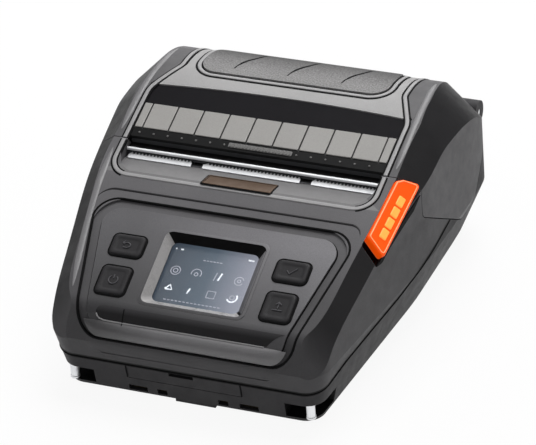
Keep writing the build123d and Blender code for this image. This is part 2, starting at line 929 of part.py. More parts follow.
def gear(centre_y, centre_z, module, teeth, phase, low_x, high_x, bore):
    """A spur gear that turns about X."""
    with BuildPart() as wheel:
        with BuildSketch(place(low_x)):
            with Locations((centre_y, centre_z)):
                Polygon(*gear_outline(module, teeth, phase), align=None)
                Circle(bore, mode=Mode.SUBTRACT)
        extrude(amount=high_x - low_x)
    return wheel.part


# Platen roller with its shaft, gear and bushes
save(
    rod(platen_y, platen_z, platen_radius, -platen_half, platen_half, shaft_radius + 0.02),
    "platen_rubber",
)
gear_low_x = gear_plane_x - gear_width
platen_shaft = rod(platen_y, platen_z, shaft_radius, gear_low_x - 0.05, bay_half + bay_wall + 0.9)
save(platen_shaft, "platen_shaft")
idler_angle = math.radians(267.8)
idler_distance = gear_module * (platen_teeth + idler_small_teeth) / 2
idler_y = platen_y + idler_distance * math.cos(idler_angle)
idler_z = platen_z + idler_distance * math.sin(idler_angle)
motor_angle = math.radians(190)
pinion_distance = gear_module * (idler_large_teeth + pinion_teeth) / 2
motor_y = idler_y + pinion_distance * math.cos(motor_angle)
motor_z = idler_z + pinion_distance * math.sin(motor_angle)
save(
    gear(
        platen_y, platen_z, gear_module, platen_teeth, idler_angle,
        gear_low_x, gear_plane_x, shaft_radius + 0.02,
    ),
    "platen_gear",
)
small_phase = idler_angle + math.pi + math.pi / idler_small_teeth
large_phase = motor_angle
axle_radius = 1.5
wheel_low_x = wheel_plane_x - wheel_width
idler = combine(
    gear(
        idler_y, idler_z, gear_module, idler_small_teeth, small_phase,
        wheel_plane_x - 0.1, gear_plane_x, axle_radius + 0.05,
    ),
    added=[
        gear(
            idler_y, idler_z, gear_module, idler_large_teeth, large_phase,
            wheel_low_x, wheel_plane_x, axle_radius + 0.05,
        )
    ],
)
save(idler, "idler_gear")
pinion_phase = motor_angle + math.pi + math.pi / pinion_teeth
save(
    gear(
        motor_y, motor_z, gear_module, pinion_teeth, pinion_phase,
        wheel_low_x, wheel_plane_x + 0.3, motor_shaft_radius + 0.02,
    ),
    "motor_pinion",
)
save(rod(motor_y, motor_z, motor_shaft_radius, wheel_low_x, motor_face_x + 7), "motor_shaft")

bush = rod(
    platen_y, platen_z, bush_radius, platen_half + 0.4, bay_half + bay_wall + 1.3, shaft_radius + bush_gap
)
save(combine(bush, added=[bush.mirror(Plane.YZ)]), "platen_bushes")

# Stepper motor and the bracket that carries it and the idler's axle
flange = slab(
    [
        (motor_y - 10.6, motor_z - 9.0), (motor_y + 8.8, motor_z - 9.0),
        (motor_y + 8.8, motor_z + 9.0), (motor_y - 10.6, motor_z + 9.0),
    ],
    motor_face_x, motor_face_x + 1.0, [3, 3, 3, 3],
)
motor_body_x = motor_face_x + 1.0
plug = block((motor_body_x + 5, motor_y - 10.5, motor_z - 3), (motor_body_x + 13, motor_y - 7.5, motor_z + 3))
motor = combine(
    rod(motor_y, motor_z, motor_radius, motor_body_x, motor_body_x + motor_length),
    added=[flange, plug],
    removed=[rod(motor_y, motor_z, motor_shaft_radius + 0.05, motor_face_x - 1, motor_face_x + 8)],
)
save(motor, "stepper_motor")
bracket_plate = slab(
    [
        (motor_y - 8.3, motor_z - 9), (motor_y + 4, motor_z - 9), (idler_y + 20.3, idler_z - 7),
        (idler_y + 20.3, idler_z), (idler_y + 3, idler_z + 5), (motor_y - 8.3, motor_z + 8),
    ],
    wheel_low_x - 1.4, wheel_low_x - 0.4, [3, 3, 3, 3, 3, 3],
)
bracket_posts = [
    rod(motor_y - 6, motor_z + 5.4, 1.4, wheel_low_x - 0.5, motor_face_x - 0.02),
    rod(motor_y - 5, motor_z - 6.5, 1.4, wheel_low_x - 0.5, motor_face_x - 0.02),
    rod(idler_y + 17.8, idler_z - 3.4, 1.4, wheel_low_x - 0.5, -bay_half - bay_wall - 0.02),
    rod(idler_y, idler_z, axle_radius, wheel_low_x - 0.5, gear_plane_x),
]
save(combine(bracket_plate, added=bracket_posts), "drive_bracket")

# Print head: heating plate, finned heat sink, bracket and two leaf springs
head_rear_y = platen_y - platen_radius - head_face_gap
head_front_y = head_rear_y - head_thickness
head_plate = block((-head_half, head_front_y, head_bottom_z), (head_half, head_rear_y, head_top_z))
save(head_plate, "print_head")
sink_base = 3.2
fin_half = 34.0
with BuildPart() as heat_sink:
    with Locations((0, head_front_y - 0.05 - sink_base / 2, (head_bottom_z + head_top_z) / 2)):
        Box(2 * head_half, sink_base, head_top_z - head_bottom_z)
    with GridLocations(fin_half / 5, 1, 11, 1):
        with Locations((0, head_front_y - sink_base - 3.5, (head_bottom_z + head_top_z) / 2)):
            Box(1.4, 7.0, head_top_z - head_bottom_z)
save(heat_sink.part, "head_heat_sink")
bracket_y = head_front_y - sink_base - 5.4
bracket_rear_y = ledge_rear_y - wall - 0.05
head_bracket = block(
    (-head_half, bracket_y, head_bottom_z - 1.8), (head_half, bracket_rear_y, head_bottom_z - 0.8)
)
bracket_tab = block(
    (-38, bracket_rear_y - 1.2, head_bottom_z - 9), (38, bracket_rear_y, head_bottom_z - 0.9)
)
ear_plate = block(
    (fin_half + 4, bracket_y, head_bottom_z - 0.9), (head_half, bracket_y + 1.2, head_top_z - 0.6)
)
save(combine(head_bracket, added=[bracket_tab, *both_sides(ear_plate)]), "head_bracket")
spring_middle_z = (head_bottom_z + head_top_z) / 2
leaf = slab(
    [
        (bracket_y + 1.25, head_bottom_z + 0.6), (head_front_y - sink_base - 0.1, spring_middle_z),
        (bracket_y + 1.25, head_top_z - 0.9), (bracket_y + 1.25, head_top_z - 1.5),
        (head_front_y - sink_base - 1.0, spring_middle_z), (bracket_y + 1.25, head_bottom_z + 1.2),
    ],
    42, 50,
)
save(combine(leaf, added=[leaf.mirror(Plane.YZ)]), "head_springs")

# Serrated tear bar on the rear edge of the ledge
ledge_slope = math.atan2(ledge_front_z - ledge_rear_z, ledge_rear_y - mouth_front_y)
ledge_plane = Plane(
    origin=(0, ledge_rear_y, ledge_rear_z), x_dir=(1, 0, 0),
    z_dir=(0, math.sin(ledge_slope), math.cos(ledge_slope)),
)
tooth_pitch = 1.6
tear_half = mouth_half - 1.2
notch_x = 24.9
tear_points = [(-tear_half, -3.2)]
tooth_count = int(2 * tear_half / tooth_pitch)
for tooth in range(tooth_count + 1):
    x = -tear_half + tooth * 2 * tear_half / tooth_count
    cut_away = abs(abs(x) - notch_x) < 2.6
    tear_points.append((x, -1.9 if cut_away else -0.55))
    if tooth < tooth_count:
        tear_points.append((x + tear_half / tooth_count, -1.9 if cut_away else 0.25))
tear_points.append((tear_half, -3.2))
with BuildPart() as tear_bar:
    with BuildSketch(ledge_plane.offset(0.05)):
        Polygon(*tear_points, align=None)
    extrude(amount=0.6)
save(tear_bar.part, "tear_bar")

# Latch bar with a hook beside each platen bush
hook_x = bay_half + bay_wall + 0.4
hook = slab(
    [
        (latch_y - 3, latch_z - 2), (latch_y + 3, latch_z - 2), (platen_y - 3.6, platen_z - 7.5),
        (platen_y - bush_radius - 0.6, platen_z), (platen_y - bush_radius - 0.5, platen_z + 5.2),
        (platen_y - 6.8, platen_z + 5.6), (platen_y - 8.2, platen_z - 3),
    ],
    hook_x, hook_x + 1.0,
)
latch_bar = combine(
    rod(latch_y, latch_z, latch_radius, -hook_x - 1.0, hook_x + 1.0), added=both_sides(hook)
)
save(latch_bar, "latch_bar")

# Label guides with their racks, and the pinion between the racks


def rack(low_x, high_x, pitch_z, up):
    """A toothed bar along X in front of the roll bay; its teeth face the pinion."""
    pitch = math.pi * rack_module
    sign = 1 if up else -1
    add_z = pitch_z + sign * 0.85 * rack_module
    root_z = pitch_z - sign * 1.2 * rack_module
    back_z = pitch_z - sign * (1.25 * rack_module + arm_thickness)
    lean = math.tan(math.radians(20))
    points = [(low_x, back_z), (low_x, root_z)]
    first = math.ceil((low_x + pitch) / pitch - 0.5)
    tooth = first
    while (tooth + 0.5) * pitch + pitch * 0.5 < high_x:
        middle = (tooth + 0.5) * pitch
        half = pitch / 4 - 0.03
        low_half = half + 1.2 * rack_module * lean
        tip_half = half - 0.85 * rack_module * lean
        points += [(middle - low_half, root_z), (middle - tip_half, add_z)]
        points += [(middle + tip_half, add_z), (middle + low_half, root_z)]
        tooth += 1
    points += [(high_x, root_z), (high_x, back_z)]
    with BuildPart() as bar:
        with BuildSketch(Plane.XZ.offset(-rack_rear_y)):
            Polygon(*points, align=None)
        extrude(amount=rack_thickness)
    return bar.part


def guide_plate(arm_z):
    """The right hand guide: a round plate with an arm that goes out through the bay's slot."""
    plate = rod(roll_y, roll_z, guide_radius, guide_x - guide_thickness, guide_x)
    arm = slab(
        [
            (rack_rear_y - 0.2, arm_z - arm_thickness / 2), (roll_y - 14, arm_z - arm_thickness / 2),
            (roll_y - 4, roll_z - guide_radius + 3), (roll_y - guide_radius + 1.5, roll_z - 6),
            (roll_y - guide_radius + 0.8, arm_z + arm_thickness / 2),
            (rack_rear_y - 0.2, arm_z + arm_thickness / 2),
        ],
        guide_x - guide_thickness, guide_x,
    )
    return combine(plate, added=[arm], removed=[rod(roll_y, roll_z, 8, guide_x - 5, guide_x + 5)])


rack_reach = 8.0
right_guide = combine(
    guide_plate(right_arm_z),
    added=[rack(-rack_reach, guide_x, rack_pinion_z - rack_pitch_radius, True)],
)
save(right_guide, "media_guide_right")
left_rack = rack(-guide_x, rack_reach, rack_pinion_z + rack_pitch_radius, False)
left_guide = combine(guide_plate(left_arm_z).mirror(Plane.YZ), added=[left_rack])
save(left_guide, "media_guide_left")
with BuildPart() as guide_pinion:
    with BuildSketch(Plane.XZ.offset(-rack_rear_y + 0.1)):
        with Locations((0, rack_pinion_z)):
            Polygon(
                *gear_outline(rack_module, rack_pinion_teeth, math.pi / 2, addendum=0.85, dedendum=1.2),
                align=None,
            )
            Circle(1.55, mode=Mode.SUBTRACT)
    extrude(amount=rack_thickness - 0.2)
save(guide_pinion.part, "guide_pinion")

# Lid: shell with both shoulders and cheeks, and the hinge barrel at its rear
lid_skirt_z = platen_z + bush_radius + 0.8


def cover_outline(grow):
    """The lid's centre cover seen from above: an arched front and S shaped sides."""
    narrow_y = cover_front_y + 16.0
    with BuildPart() as prism:
        with BuildSketch(Plane.XY):
            with BuildLine():
                ThreePointArc(
                    (-cover_wide_half, cover_front_y), (0, cover_front_y + 2.6),
                    (cover_wide_half, cover_front_y),
                )
                right = FilletPolyline(
                    (cover_wide_half, cover_front_y), (cover_narrow_half, narrow_y),
                    (cover_narrow_half, cover_rear_y), (0, cover_rear_y), radius=[6, 8],
                )
                mirror(right, about=Plane.YZ)
            make_face()
            if grow:
                offset(amount=grow)
        extrude(amount=150)
    return prism.part


barrel = rod(hinge_y, hinge_z, hinge_radius, -lid_knuckle_half, lid_knuckle_half)
ear_clear = both_sides(
    rod(hinge_y, hinge_z, hinge_radius + seam_gap, lid_knuckle_half, belt_rear_half + 5)
)
cover_form = body_form(cover_thickness)
cover_seat = combine(cover_outline(seam_gap), removed=[cover_form])
lid_shell = combine(
    combine(combine(mouth_shell(lid_skirt_z), kept=[lid_region()]), added=[barrel]),
    removed=[
        cover_seat, lever_slot, *ear_clear,
        rod(hinge_y, hinge_z, hinge_pin_radius + hinge_pin_gap, -ear_half - 9, ear_half + 9),
    ],
)
save(lid_shell, "lid_shell")
save(rod(hinge_y, hinge_z, hinge_pin_radius, -ear_half + 0.2, ear_half - 0.2), "hinge_pin")

# Centre cover of the lid, which lies in a shallow seat, and its ribbed grip pad
cover_region = combine(cover_outline(0), kept=[block((-100, front_y, crest_z - 45), (100, rear_y, 120))])
save(combine(outer_form, removed=[cover_form], kept=[cover_region]), "lid_cover")
pad_form = body_form(-pad_rise)
with BuildPart() as pad_prism:
    with BuildSketch(Plane.XY):
        with Locations((0, (pad_front_y + pad_rear_y) / 2)):
            RectangleRounded(2 * pad_half, pad_rear_y - pad_front_y, 8)
    extrude(amount=150)
    with Locations((0, 0, body_height / 4)):
        Box(400, 400, body_height / 2, mode=Mode.SUBTRACT)
pad_grooves = []
for n in (-1, 0, 1):
    x = n * groove_spacing
    curve = ThreePointArc(
        (x - 3, pad_front_y + 5), (x - 1, pad_front_y + 11), (x + 3, pad_front_y + 17)
    )
    with BuildPart() as groove:
        with BuildSketch(Plane.XY):
            SlotArc(curve, 0.8)
        extrude(amount=120)
    pad_grooves.append(groove.part)
groove_floor = body_form(groove_depth - pad_rise)
groove_cuts = combine(
    combine(pad_grooves[0], added=pad_grooves[1:]), removed=[groove_floor]
)
pad = combine(combine(pad_form, removed=[outer_form]), kept=[pad_prism.part])
save(combine(pad, removed=[groove_cuts]), "grip_pad")

# Front module of the lid: frame, ramp, window, guard and edge bars
module_half = mouth_half - 0.2


def ahead_of_cover(solid):
    """Trims a piece so that it ends at the cover's arched edge."""
    return combine(solid, removed=[cover_outline(0.3)])


frame_section = [
    (front_y + 86.2, 65.1), (front_y + 101, 65.1), (front_y + 112, 72.4), (front_y + 119.0, 75.2),
    (front_y + 119.0, 77.2), (front_y + 108.6, 75.3), (front_y + 95.0, 71.4), (front_y + 91.4, 69.4),
    (front_y + 91.4, 66.2), (front_y + 86.2, 66.2),
]
lid_arm = slab(
    [
        (platen_y - 5.2, platen_z - 5.0), (platen_y + 5.0, platen_z - 5.0),
        (platen_y + 6.5, 65.4), (platen_y - 6.0, 65.4),
    ],
    platen_half + 1.0, bay_half - 0.8, [4, 4, 0, 0],
)
lid_frame = combine(
    ahead_of_cover(slab(frame_section, -module_half, module_half)), added=both_sides(lid_arm)
)
lid_frame = combine(lid_frame, removed=[rod(platen_y, platen_z, bush_radius + 0.02, -100, 100)])
save(lid_frame, "lid_frame")
ramp = slab(
    [
        (front_y + 94.9, 71.5), (front_y + 94.7, 73.0), (front_y + 108.3, 77.2),
        (front_y + 108.5, 75.4),
    ],
    -module_half, module_half,
)
ramp_slope = math.atan2(4.2, 13.6)
ramp_lines = 10
line_pitch = 12.05
ramp_plane = Plane(
    origin=(0, front_y + 94.7, 73.0), x_dir=(1, 0, 0),
    z_dir=(0, -math.sin(ramp_slope), math.cos(ramp_slope)),
)
with BuildPart() as ramp_cuts:
    with BuildSketch(ramp_plane.offset(-0.45)):
        with Locations((0, 7)):
            with GridLocations(line_pitch, 1, ramp_lines, 1):
                Rectangle(0.5, 16)
    extrude(amount=2)
save(combine(ramp, removed=[ramp_cuts.part]), "exit_ramp")
save(
    slab(
        [
            (front_y + 91.6, 69.8), (front_y + 90.0, 70.2), (front_y + 90.2, 71.4),
            (front_y + 94.3, 73.0), (front_y + 94.6, 71.4),
        ],
        -module_half, module_half,
    ),
    "guard_bar",
)
save(
    slab(
        [
            (front_y + 85.4, 66.25), (front_y + 91.1, 66.25), (front_y + 91.1, 67.7),
            (front_y + 85.4, 67.7),
        ],
        -module_half, module_half,
    ),
    "edge_bar",
)
save(
    ahead_of_cover(
        slab(
            [
                (front_y + 108.8, 75.7), (front_y + 108.6, 77.0), (front_y + 123, 80.0),
                (front_y + 123, 78.3),
            ],
            -module_half, module_half,
        )
    ),
    "media_window",
)

# Two optical sensors along the label's path
sensor_x = 12.0
save(
    block((sensor_x - 4.5, front_y + 100.0, 62.6), (sensor_x + 4.5, front_y + 104.0, 65.05)),
    "gap_sensor",
)
save(
    block(
        (-sensor_x - 5, bay_lip_y + 0.1, bay_lip_z + 0.05),
        (-sensor_x + 5, bay_lip_y + 1.4, bay_lip_z + 1.6),
    ),
    "mark_sensor",
)
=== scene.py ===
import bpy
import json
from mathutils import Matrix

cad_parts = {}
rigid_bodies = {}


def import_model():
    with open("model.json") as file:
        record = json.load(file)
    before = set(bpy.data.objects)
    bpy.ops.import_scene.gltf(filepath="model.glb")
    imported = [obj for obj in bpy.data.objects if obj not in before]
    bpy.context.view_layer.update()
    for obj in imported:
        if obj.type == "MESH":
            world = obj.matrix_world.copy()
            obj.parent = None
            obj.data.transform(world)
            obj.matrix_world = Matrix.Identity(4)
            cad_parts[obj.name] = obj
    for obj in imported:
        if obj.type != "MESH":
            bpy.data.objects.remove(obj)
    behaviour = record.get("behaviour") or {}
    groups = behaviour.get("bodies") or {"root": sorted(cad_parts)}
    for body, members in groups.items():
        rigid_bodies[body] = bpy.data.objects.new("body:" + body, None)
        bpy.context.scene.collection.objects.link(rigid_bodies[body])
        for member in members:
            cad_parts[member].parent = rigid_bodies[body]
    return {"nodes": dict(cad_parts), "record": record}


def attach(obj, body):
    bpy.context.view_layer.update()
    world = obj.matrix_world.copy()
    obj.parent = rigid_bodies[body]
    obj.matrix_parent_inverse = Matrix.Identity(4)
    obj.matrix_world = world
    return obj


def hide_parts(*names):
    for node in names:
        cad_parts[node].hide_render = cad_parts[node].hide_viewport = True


bl_info = {
    "name": "Portable label printer",
    "version": (1, 0, 0),
    "blender": (4, 5, 0),
    "location": "3D View > Sidebar > Label Printer",
    "description": "Dresses the printer's fixed frame with its finishes and detailed pieces",
    "category": "Object",
}

import json
import math

import bmesh
import bpy
from mathutils import Matrix, Vector

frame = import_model()
for left_over in [item for item in bpy.data.objects if item.name in ("Cube", "Camera", "Light")]:
    bpy.data.objects.remove(left_over)
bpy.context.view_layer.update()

MM = 0.001

# The body's form, as the frame has it. Distances are millimetres in the frame's axes.
FRONT_Y = -89.0
REAR_Y = 89.0
NOSE_Z = 41.4
BELT_Z = 27.0
PANEL_SLOPE = math.radians(22.0)
CHIN_SLOPE = math.radians(66.0)
NOSE_Y = FRONT_Y + (NOSE_Z - BELT_Z) / math.tan(CHIN_SLOPE)
BROW_Y = FRONT_Y + 62.0
SHOULDER_Y = FRONT_Y + 122.0
CREST_Z = 81.2
REAR_ROUND = 39.0
SHOULDER_ROUND = 100.0
CREST_WIDEST = 64.8
BELT_FRONT, BELT_MIDDLE, BELT_REAR = 61.0, 74.5, 77.0
MOUTH_HALF = 58.3
LEDGE_REAR = (FRONT_Y + 87.2, 63.5)
LEDGE_FRONT = (FRONT_Y + 70.0, 66.6)
# The seam between the upper and the lower case, as (y, z) corners along either side.
SEAM_COURSE = [(-88.0, 17.2), (-65.0, 21.0), (-20.0, 23.5), (22.0, 31.0), (33.0, 33.0)]
SEAM_HALF = 0.95


def panel_rise(y):
    """Height of the sloping front at Y."""
    return NOSE_Z + (y - NOSE_Y) * math.tan(PANEL_SLOPE)


def crest_z(y):
    """Height of the body's top along its middle, with its rounded shoulder and rear."""
    brow_z = panel_rise(BROW_Y)
    slope = math.atan2(CREST_Z - brow_z, SHOULDER_Y - BROW_Y)
    tangent = SHOULDER_ROUND * math.tan(slope / 2)
    arc_end = SHOULDER_Y + tangent
    arc_start = SHOULDER_Y - tangent * math.cos(slope)
    rear_arc = REAR_Y + 1 - REAR_ROUND
    if y < BROW_Y:
        return panel_rise(y)
    if y < arc_start:
        return brow_z + (y - BROW_Y) * math.tan(slope)
    if y < arc_end:
        return CREST_Z - SHOULDER_ROUND + math.sqrt(SHOULDER_ROUND**2 - (arc_end - y) ** 2)
    if y < rear_arc:
        return CREST_Z
    reach = min(y - rear_arc, REAR_ROUND - 0.5)
    return CREST_Z - REAR_ROUND + math.sqrt(REAR_ROUND**2 - reach**2)


def crest_half(y):
    """Half width at which the shoulder's facet starts."""
    middle, front, rear = FRONT_Y + 100.0, FRONT_Y, REAR_Y - 8.0
    if y < middle:
        return CREST_WIDEST - 12.8 * ((middle - y) / (middle - front)) ** 2
    return CREST_WIDEST - 4.8 * ((y - middle) / (rear - middle)) ** 2


def crest_corner_z(y):
    """Height of the body's top at Y, before its corners are rounded."""
    if y < BROW_Y:
        return panel_rise(y)
    share = (y - BROW_Y) / (SHOULDER_Y - BROW_Y)
    return panel_rise(BROW_Y) + share * (CREST_Z - panel_rise(BROW_Y))


def belt_half(y):
    """Half width of the body at its belt."""
    middle, rear = FRONT_Y + 98.0, FRONT_Y + 146.0
    if y < middle:
        return BELT_FRONT + (BELT_MIDDLE - BELT_FRONT) * (y - FRONT_Y) / (middle - FRONT_Y)
    return BELT_MIDDLE + (BELT_REAR - BELT_MIDDLE) * min((y - middle) / (rear - middle), 1.0)


def frame_matrix(origin, along, normal):
    """A matrix whose X lies along a direction and whose Z stands out of a surface."""
    z = Vector(normal).normalized()
    x = Vector(along).normalized()
    y = z.cross(x)
    matrix = Matrix((x, y, z)).transposed().to_4x4()
    matrix.translation = Vector(origin) * MM
    return matrix


PANEL = frame_matrix(
    (0, NOSE_Y, NOSE_Z), (1, 0, 0), (0, -math.sin(PANEL_SLOPE), math.cos(PANEL_SLOPE))
)
LEDGE_SLOPE = math.atan2(LEDGE_FRONT[1] - LEDGE_REAR[1], LEDGE_REAR[0] - LEDGE_FRONT[0])
LEDGE = frame_matrix(
    (0, *LEDGE_REAR), (1, 0, 0), (0, math.sin(LEDGE_SLOPE), math.cos(LEDGE_SLOPE))
)
LEVER_Y = FRONT_Y + 70.4
LEVER_AHEAD, LEVER_BEHIND = FRONT_Y + 84.0, FRONT_Y + 56.0
LEVER_ALONG = Vector(
    (
        crest_half(LEVER_AHEAD) - crest_half(LEVER_BEHIND),
        LEVER_AHEAD - LEVER_BEHIND,
        crest_corner_z(LEVER_AHEAD) - crest_corner_z(LEVER_BEHIND),
    )
).normalized()
LEVER_NORMAL = Vector((1, 0, -1)).normalized().cross(LEVER_ALONG) * -1
if LEVER_NORMAL.z < 0:
    LEVER_NORMAL = LEVER_NORMAL * -1
LEVER = frame_matrix(
    (crest_half(LEVER_Y), LEVER_Y, crest_corner_z(LEVER_Y)), LEVER_ALONG, LEVER_NORMAL
)
FACET_WIDTH = (belt_half(LEVER_Y) - crest_half(LEVER_Y)) * math.sqrt(2)


# Working in Blender as by hand


def rest_hands():
    """Leaves edit mode and selects nothing."""
    if bpy.context.mode != "OBJECT":
        bpy.ops.object.mode_set(mode="OBJECT")
    bpy.ops.object.select_all(action="DESELECT")


def take(piece):
    """Selects one piece and makes it the active one."""
    rest_hands()
    piece.select_set(True)
    bpy.context.view_layer.objects.active = piece


def edit(piece, action="DESELECT"):
    """Goes into edit mode on one piece, with nothing or all of it selected."""
    take(piece)
    bpy.ops.object.mode_set(mode="EDIT")
    bpy.ops.mesh.select_mode(type="FACE")
    bpy.ops.mesh.select_all(action=action)


def put(piece, matrix=None):
    """Places a finished piece: the matrix goes into its mesh and the object stays at the origin."""
    take(piece)
    if matrix is not None:
        piece.matrix_world = matrix
    bpy.ops.object.transform_apply(location=True, rotation=True, scale=True)
    return piece


def tidy_normals(piece):
    """Merges doubles and turns every face outwards."""
    edit(piece, "SELECT")
    bpy.ops.mesh.remove_doubles(threshold=0.002 * MM)
    bpy.ops.mesh.normals_make_consistent(inside=False)
    bpy.ops.object.mode_set(mode="OBJECT")


def modify(piece, name, kind, **settings):
    """Gives a piece a modifier and applies it."""
    take(piece)
    modifier = piece.modifiers.new(name, kind)
    for setting, value in settings.items():
        setattr(modifier, setting, value)
    bpy.ops.object.modifier_apply(modifier=modifier.name)
    return piece


def soften(piece, width):
    """Breaks a piece's sharp edges."""
    return modify(
        piece, "round_edges", "BEVEL", width=width * MM, segments=1, limit_method="ANGLE",
        angle_limit=math.radians(32.0), harden_normals=False,
    )


def finish_piece(piece, body, finish, matrix=None, replaces=(), angle=32.0):
    """Puts a piece in place with its finish, its body and what it stands for. Edges sharper
    than the angle stay sharp."""
    put(piece, matrix)
    tidy_normals(piece)
    take(piece)
    bpy.ops.object.shade_smooth_by_angle(angle=math.radians(angle))
    modify(piece, "face_weight", "WEIGHTED_NORMAL", keep_sharp=True)
    piece.data.materials.clear()
    piece.data.materials.append(surface(finish))
    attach(piece, body)
    if replaces:
        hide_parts(*replaces)
    rest_hands()
    return piece


def flat_shape(name, points):
    """A flat face on Z 0 whose outline is the given points, in millimetres."""
    rest_hands()
    bpy.ops.mesh.primitive_circle_add(
        vertices=len(points), radius=10 * MM, fill_type="NGON", location=(0, 0, 0)
    )
    piece = bpy.context.object
    piece.name = piece.data.name = name
    for vertex, (x, y) in zip(piece.data.vertices, points):
        vertex.co = (x * MM, y * MM, 0)
    piece.data.update()
    return piece


def plate(name, width, height, corner, steps, corner_steps=6, centre=(0, 0)):
    """A rounded plate raised step by step; a step is (inset, rise) on the face on top."""
    rest_hands()
    bpy.ops.mesh.primitive_plane_add(size=1.0, location=(0, 0, 0))
    piece = bpy.context.object
    piece.name = piece.data.name = name
    piece.scale = (width * MM, height * MM, 1)
    piece.location = (centre[0] * MM, centre[1] * MM, 0)
    bpy.ops.object.transform_apply(location=True, rotation=False, scale=True)
    edit(piece, "SELECT")
    bpy.ops.mesh.bevel(
        offset=corner * MM, segments=corner_steps, affect="VERTICES", clamp_overlap=True
    )
    return raised(piece, steps)


def raised(piece, steps):
    """Takes a flat piece's face up step by step, drawn in on every side by the step's inset."""
    edit(piece, "SELECT")
    for inset, rise in steps:
        bpy.ops.mesh.extrude_region_move(
            TRANSFORM_OT_translate={"value": (0, 0, rise * MM), "orient_type": "GLOBAL"}
        )
        if inset:
            mesh = bmesh.from_edit_mesh(piece.data)
            places = [vertex.co for vertex in mesh.verts if vertex.select]
            low = [min(place[axis] for place in places) for axis in (0, 1)]
            high = [max(place[axis] for place in places) for axis in (0, 1)]
            size = [high[axis] - low[axis] for axis in (0, 1)]
            bpy.ops.transform.resize(
                value=(1 - 2 * inset * MM / size[0], 1 - 2 * inset * MM / size[1], 1),
                center_override=((low[0] + high[0]) / 2, (low[1] + high[1]) / 2, places[0].z),
            )
    bpy.ops.object.mode_set(mode="OBJECT")
    return piece


def side_bar(name, outline, half):
    """A bar along X whose end is the given (Y, Z) outline."""
    piece = raised(flat_shape(name, outline), [(0, 2 * half)])
    turn = ((0, 0, 1, -half * MM), (1, 0, 0, 0), (0, 1, 0, 0), (0, 0, 0, 1))
    return put(piece, Matrix(turn))


def rounded(points, radius, closed=False, steps=6):
    """The given corners with each one turned into an arc."""
    out = []
    count = len(points)
    for i, point in enumerate(points):
        if not closed and i in (0, count - 1):
            out.append(Vector(point))
            continue
        r = radius[i] if isinstance(radius, (list, tuple)) else radius
        here = Vector(point)
        before, after = Vector(points[i - 1]), Vector(points[(i + 1) % count])
        a, b = (before - here).normalized(), (after - here).normalized()
        turn = a.angle(b)
        if r <= 0 or turn > math.pi - 1e-4:
            out.append(here)
            continue
        shorter = min((before - here).length, (after - here).length)
        reach = min(r / math.tan(turn / 2), 0.49 * shorter)
        r = reach * math.tan(turn / 2)
        centre = here + (a + b).normalized() * (r / math.sin(turn / 2))
        start, end = here + a * reach - centre, here + b * reach - centre
        sweep = start.angle(end)
        for n in range(steps + 1):
            share = n / steps
            out.append(
                centre
                + (start * math.sin((1 - share) * sweep) + end * math.sin(share * sweep))
                / math.sin(sweep)
            )
    return out


def dense(points, spacing):
    """The same path with a point at least every so many millimetres."""
    out = [points[0]]
    for before, after in zip(points, points[1:]):
        length = (after - before).length
        for n in range(1, max(1, math.ceil(length / spacing)) + 1):
            out.append(before.lerp(after, n / max(1, math.ceil(length / spacing))))
    return out


def line_piece(name, paths, section, closed=False, fine_ends=0):
    """A solid strip swept along paths of points; section is (across, up) in millimetres.
    Its ends can grow finer over the given number of points."""
    rest_hands()
    shape = bpy.data.curves.new(name + "_section", "CURVE")
    shape.dimensions = "2D"
    shape.fill_mode = "NONE"
    spline = shape.splines.new("POLY")
    spline.points.add(len(section) - 1)
    for point, (across, up) in zip(spline.points, section):
        point.co = (across * MM, up * MM, 0, 1)
    spline.use_cyclic_u = True
    shape_object = bpy.data.objects.new(name + "_section", shape)
    bpy.context.scene.collection.objects.link(shape_object)
    curve = bpy.data.curves.new(name, "CURVE")
    curve.dimensions = "3D"
    curve.twist_mode = "Z_UP"
    curve.bevel_mode = "OBJECT"
    curve.bevel_object = shape_object
    curve.use_fill_caps = True
    for path in paths:
        spline = curve.splines.new("POLY")
        spline.points.add(len(path) - 1)
        for n, (point, place) in enumerate(zip(spline.points, path)):
            x, y, z = (*place, 0)[:3]
            point.co = (x * MM, y * MM, z * MM, 1)
            if fine_ends:
                point.radius = min(1.0, 0.25 + 0.75 * min(n, len(path) - 1 - n) / fine_ends)
        spline.use_cyclic_u = closed
    piece = bpy.data.objects.new(name, curve)
    bpy.context.scene.collection.objects.link(piece)
    take(piece)
    bpy.ops.object.convert(target="MESH")
    piece = bpy.context.object
    piece.data.name = name
    bpy.data.objects.remove(shape_object)
    return piece


def lay_on_crest(piece):
    """Lowers a strip that was drawn flat onto the body's rounded top."""
    for vertex in piece.data.vertices:
        vertex.co.z += crest_z(vertex.co.y / MM) * MM
    piece.data.update()
    return piece


def strip_section(width, proud, sunk):
    """A low strip with rounded shoulders."""
    half = width / 2
    return [
        (-half, -sunk), (-half, proud - 0.22), (-half + 0.1, proud - 0.07), (-half + 0.3, proud),
        (half - 0.3, proud), (half - 0.1, proud - 0.07), (half, proud - 0.22), (half, -sunk),
    ]


def round_section(radius, sides=8, height=None):
    """A round section, or an oval one where its height differs from its radius."""
    turns = [2 * math.pi * n / sides for n in range(sides)]
    return [(radius * math.cos(turn), (height or radius) * math.sin(turn)) for turn in turns]


def skin(name, columns, rows, place, thick):
    """A curved sheet: a grid laid out by place(across, along), both from 0 to 1, made solid."""
    rest_hands()
    bpy.ops.mesh.primitive_grid_add(
        x_subdivisions=columns, y_subdivisions=rows, size=1.0, location=(0, 0, 0)
    )
    piece = bpy.context.object
    piece.name = piece.data.name = name
    for vertex in piece.data.vertices:
        vertex.co = Vector(place(vertex.co.x + 0.5, vertex.co.y + 0.5)) * MM
    piece.data.update()
    return thicken(piece, thick)


def thicken(piece, thick):
    """Makes a sheet solid, inwards from its outer face."""
    return modify(piece, "thickness", "SOLIDIFY", thickness=thick * MM, offset=-1.0)


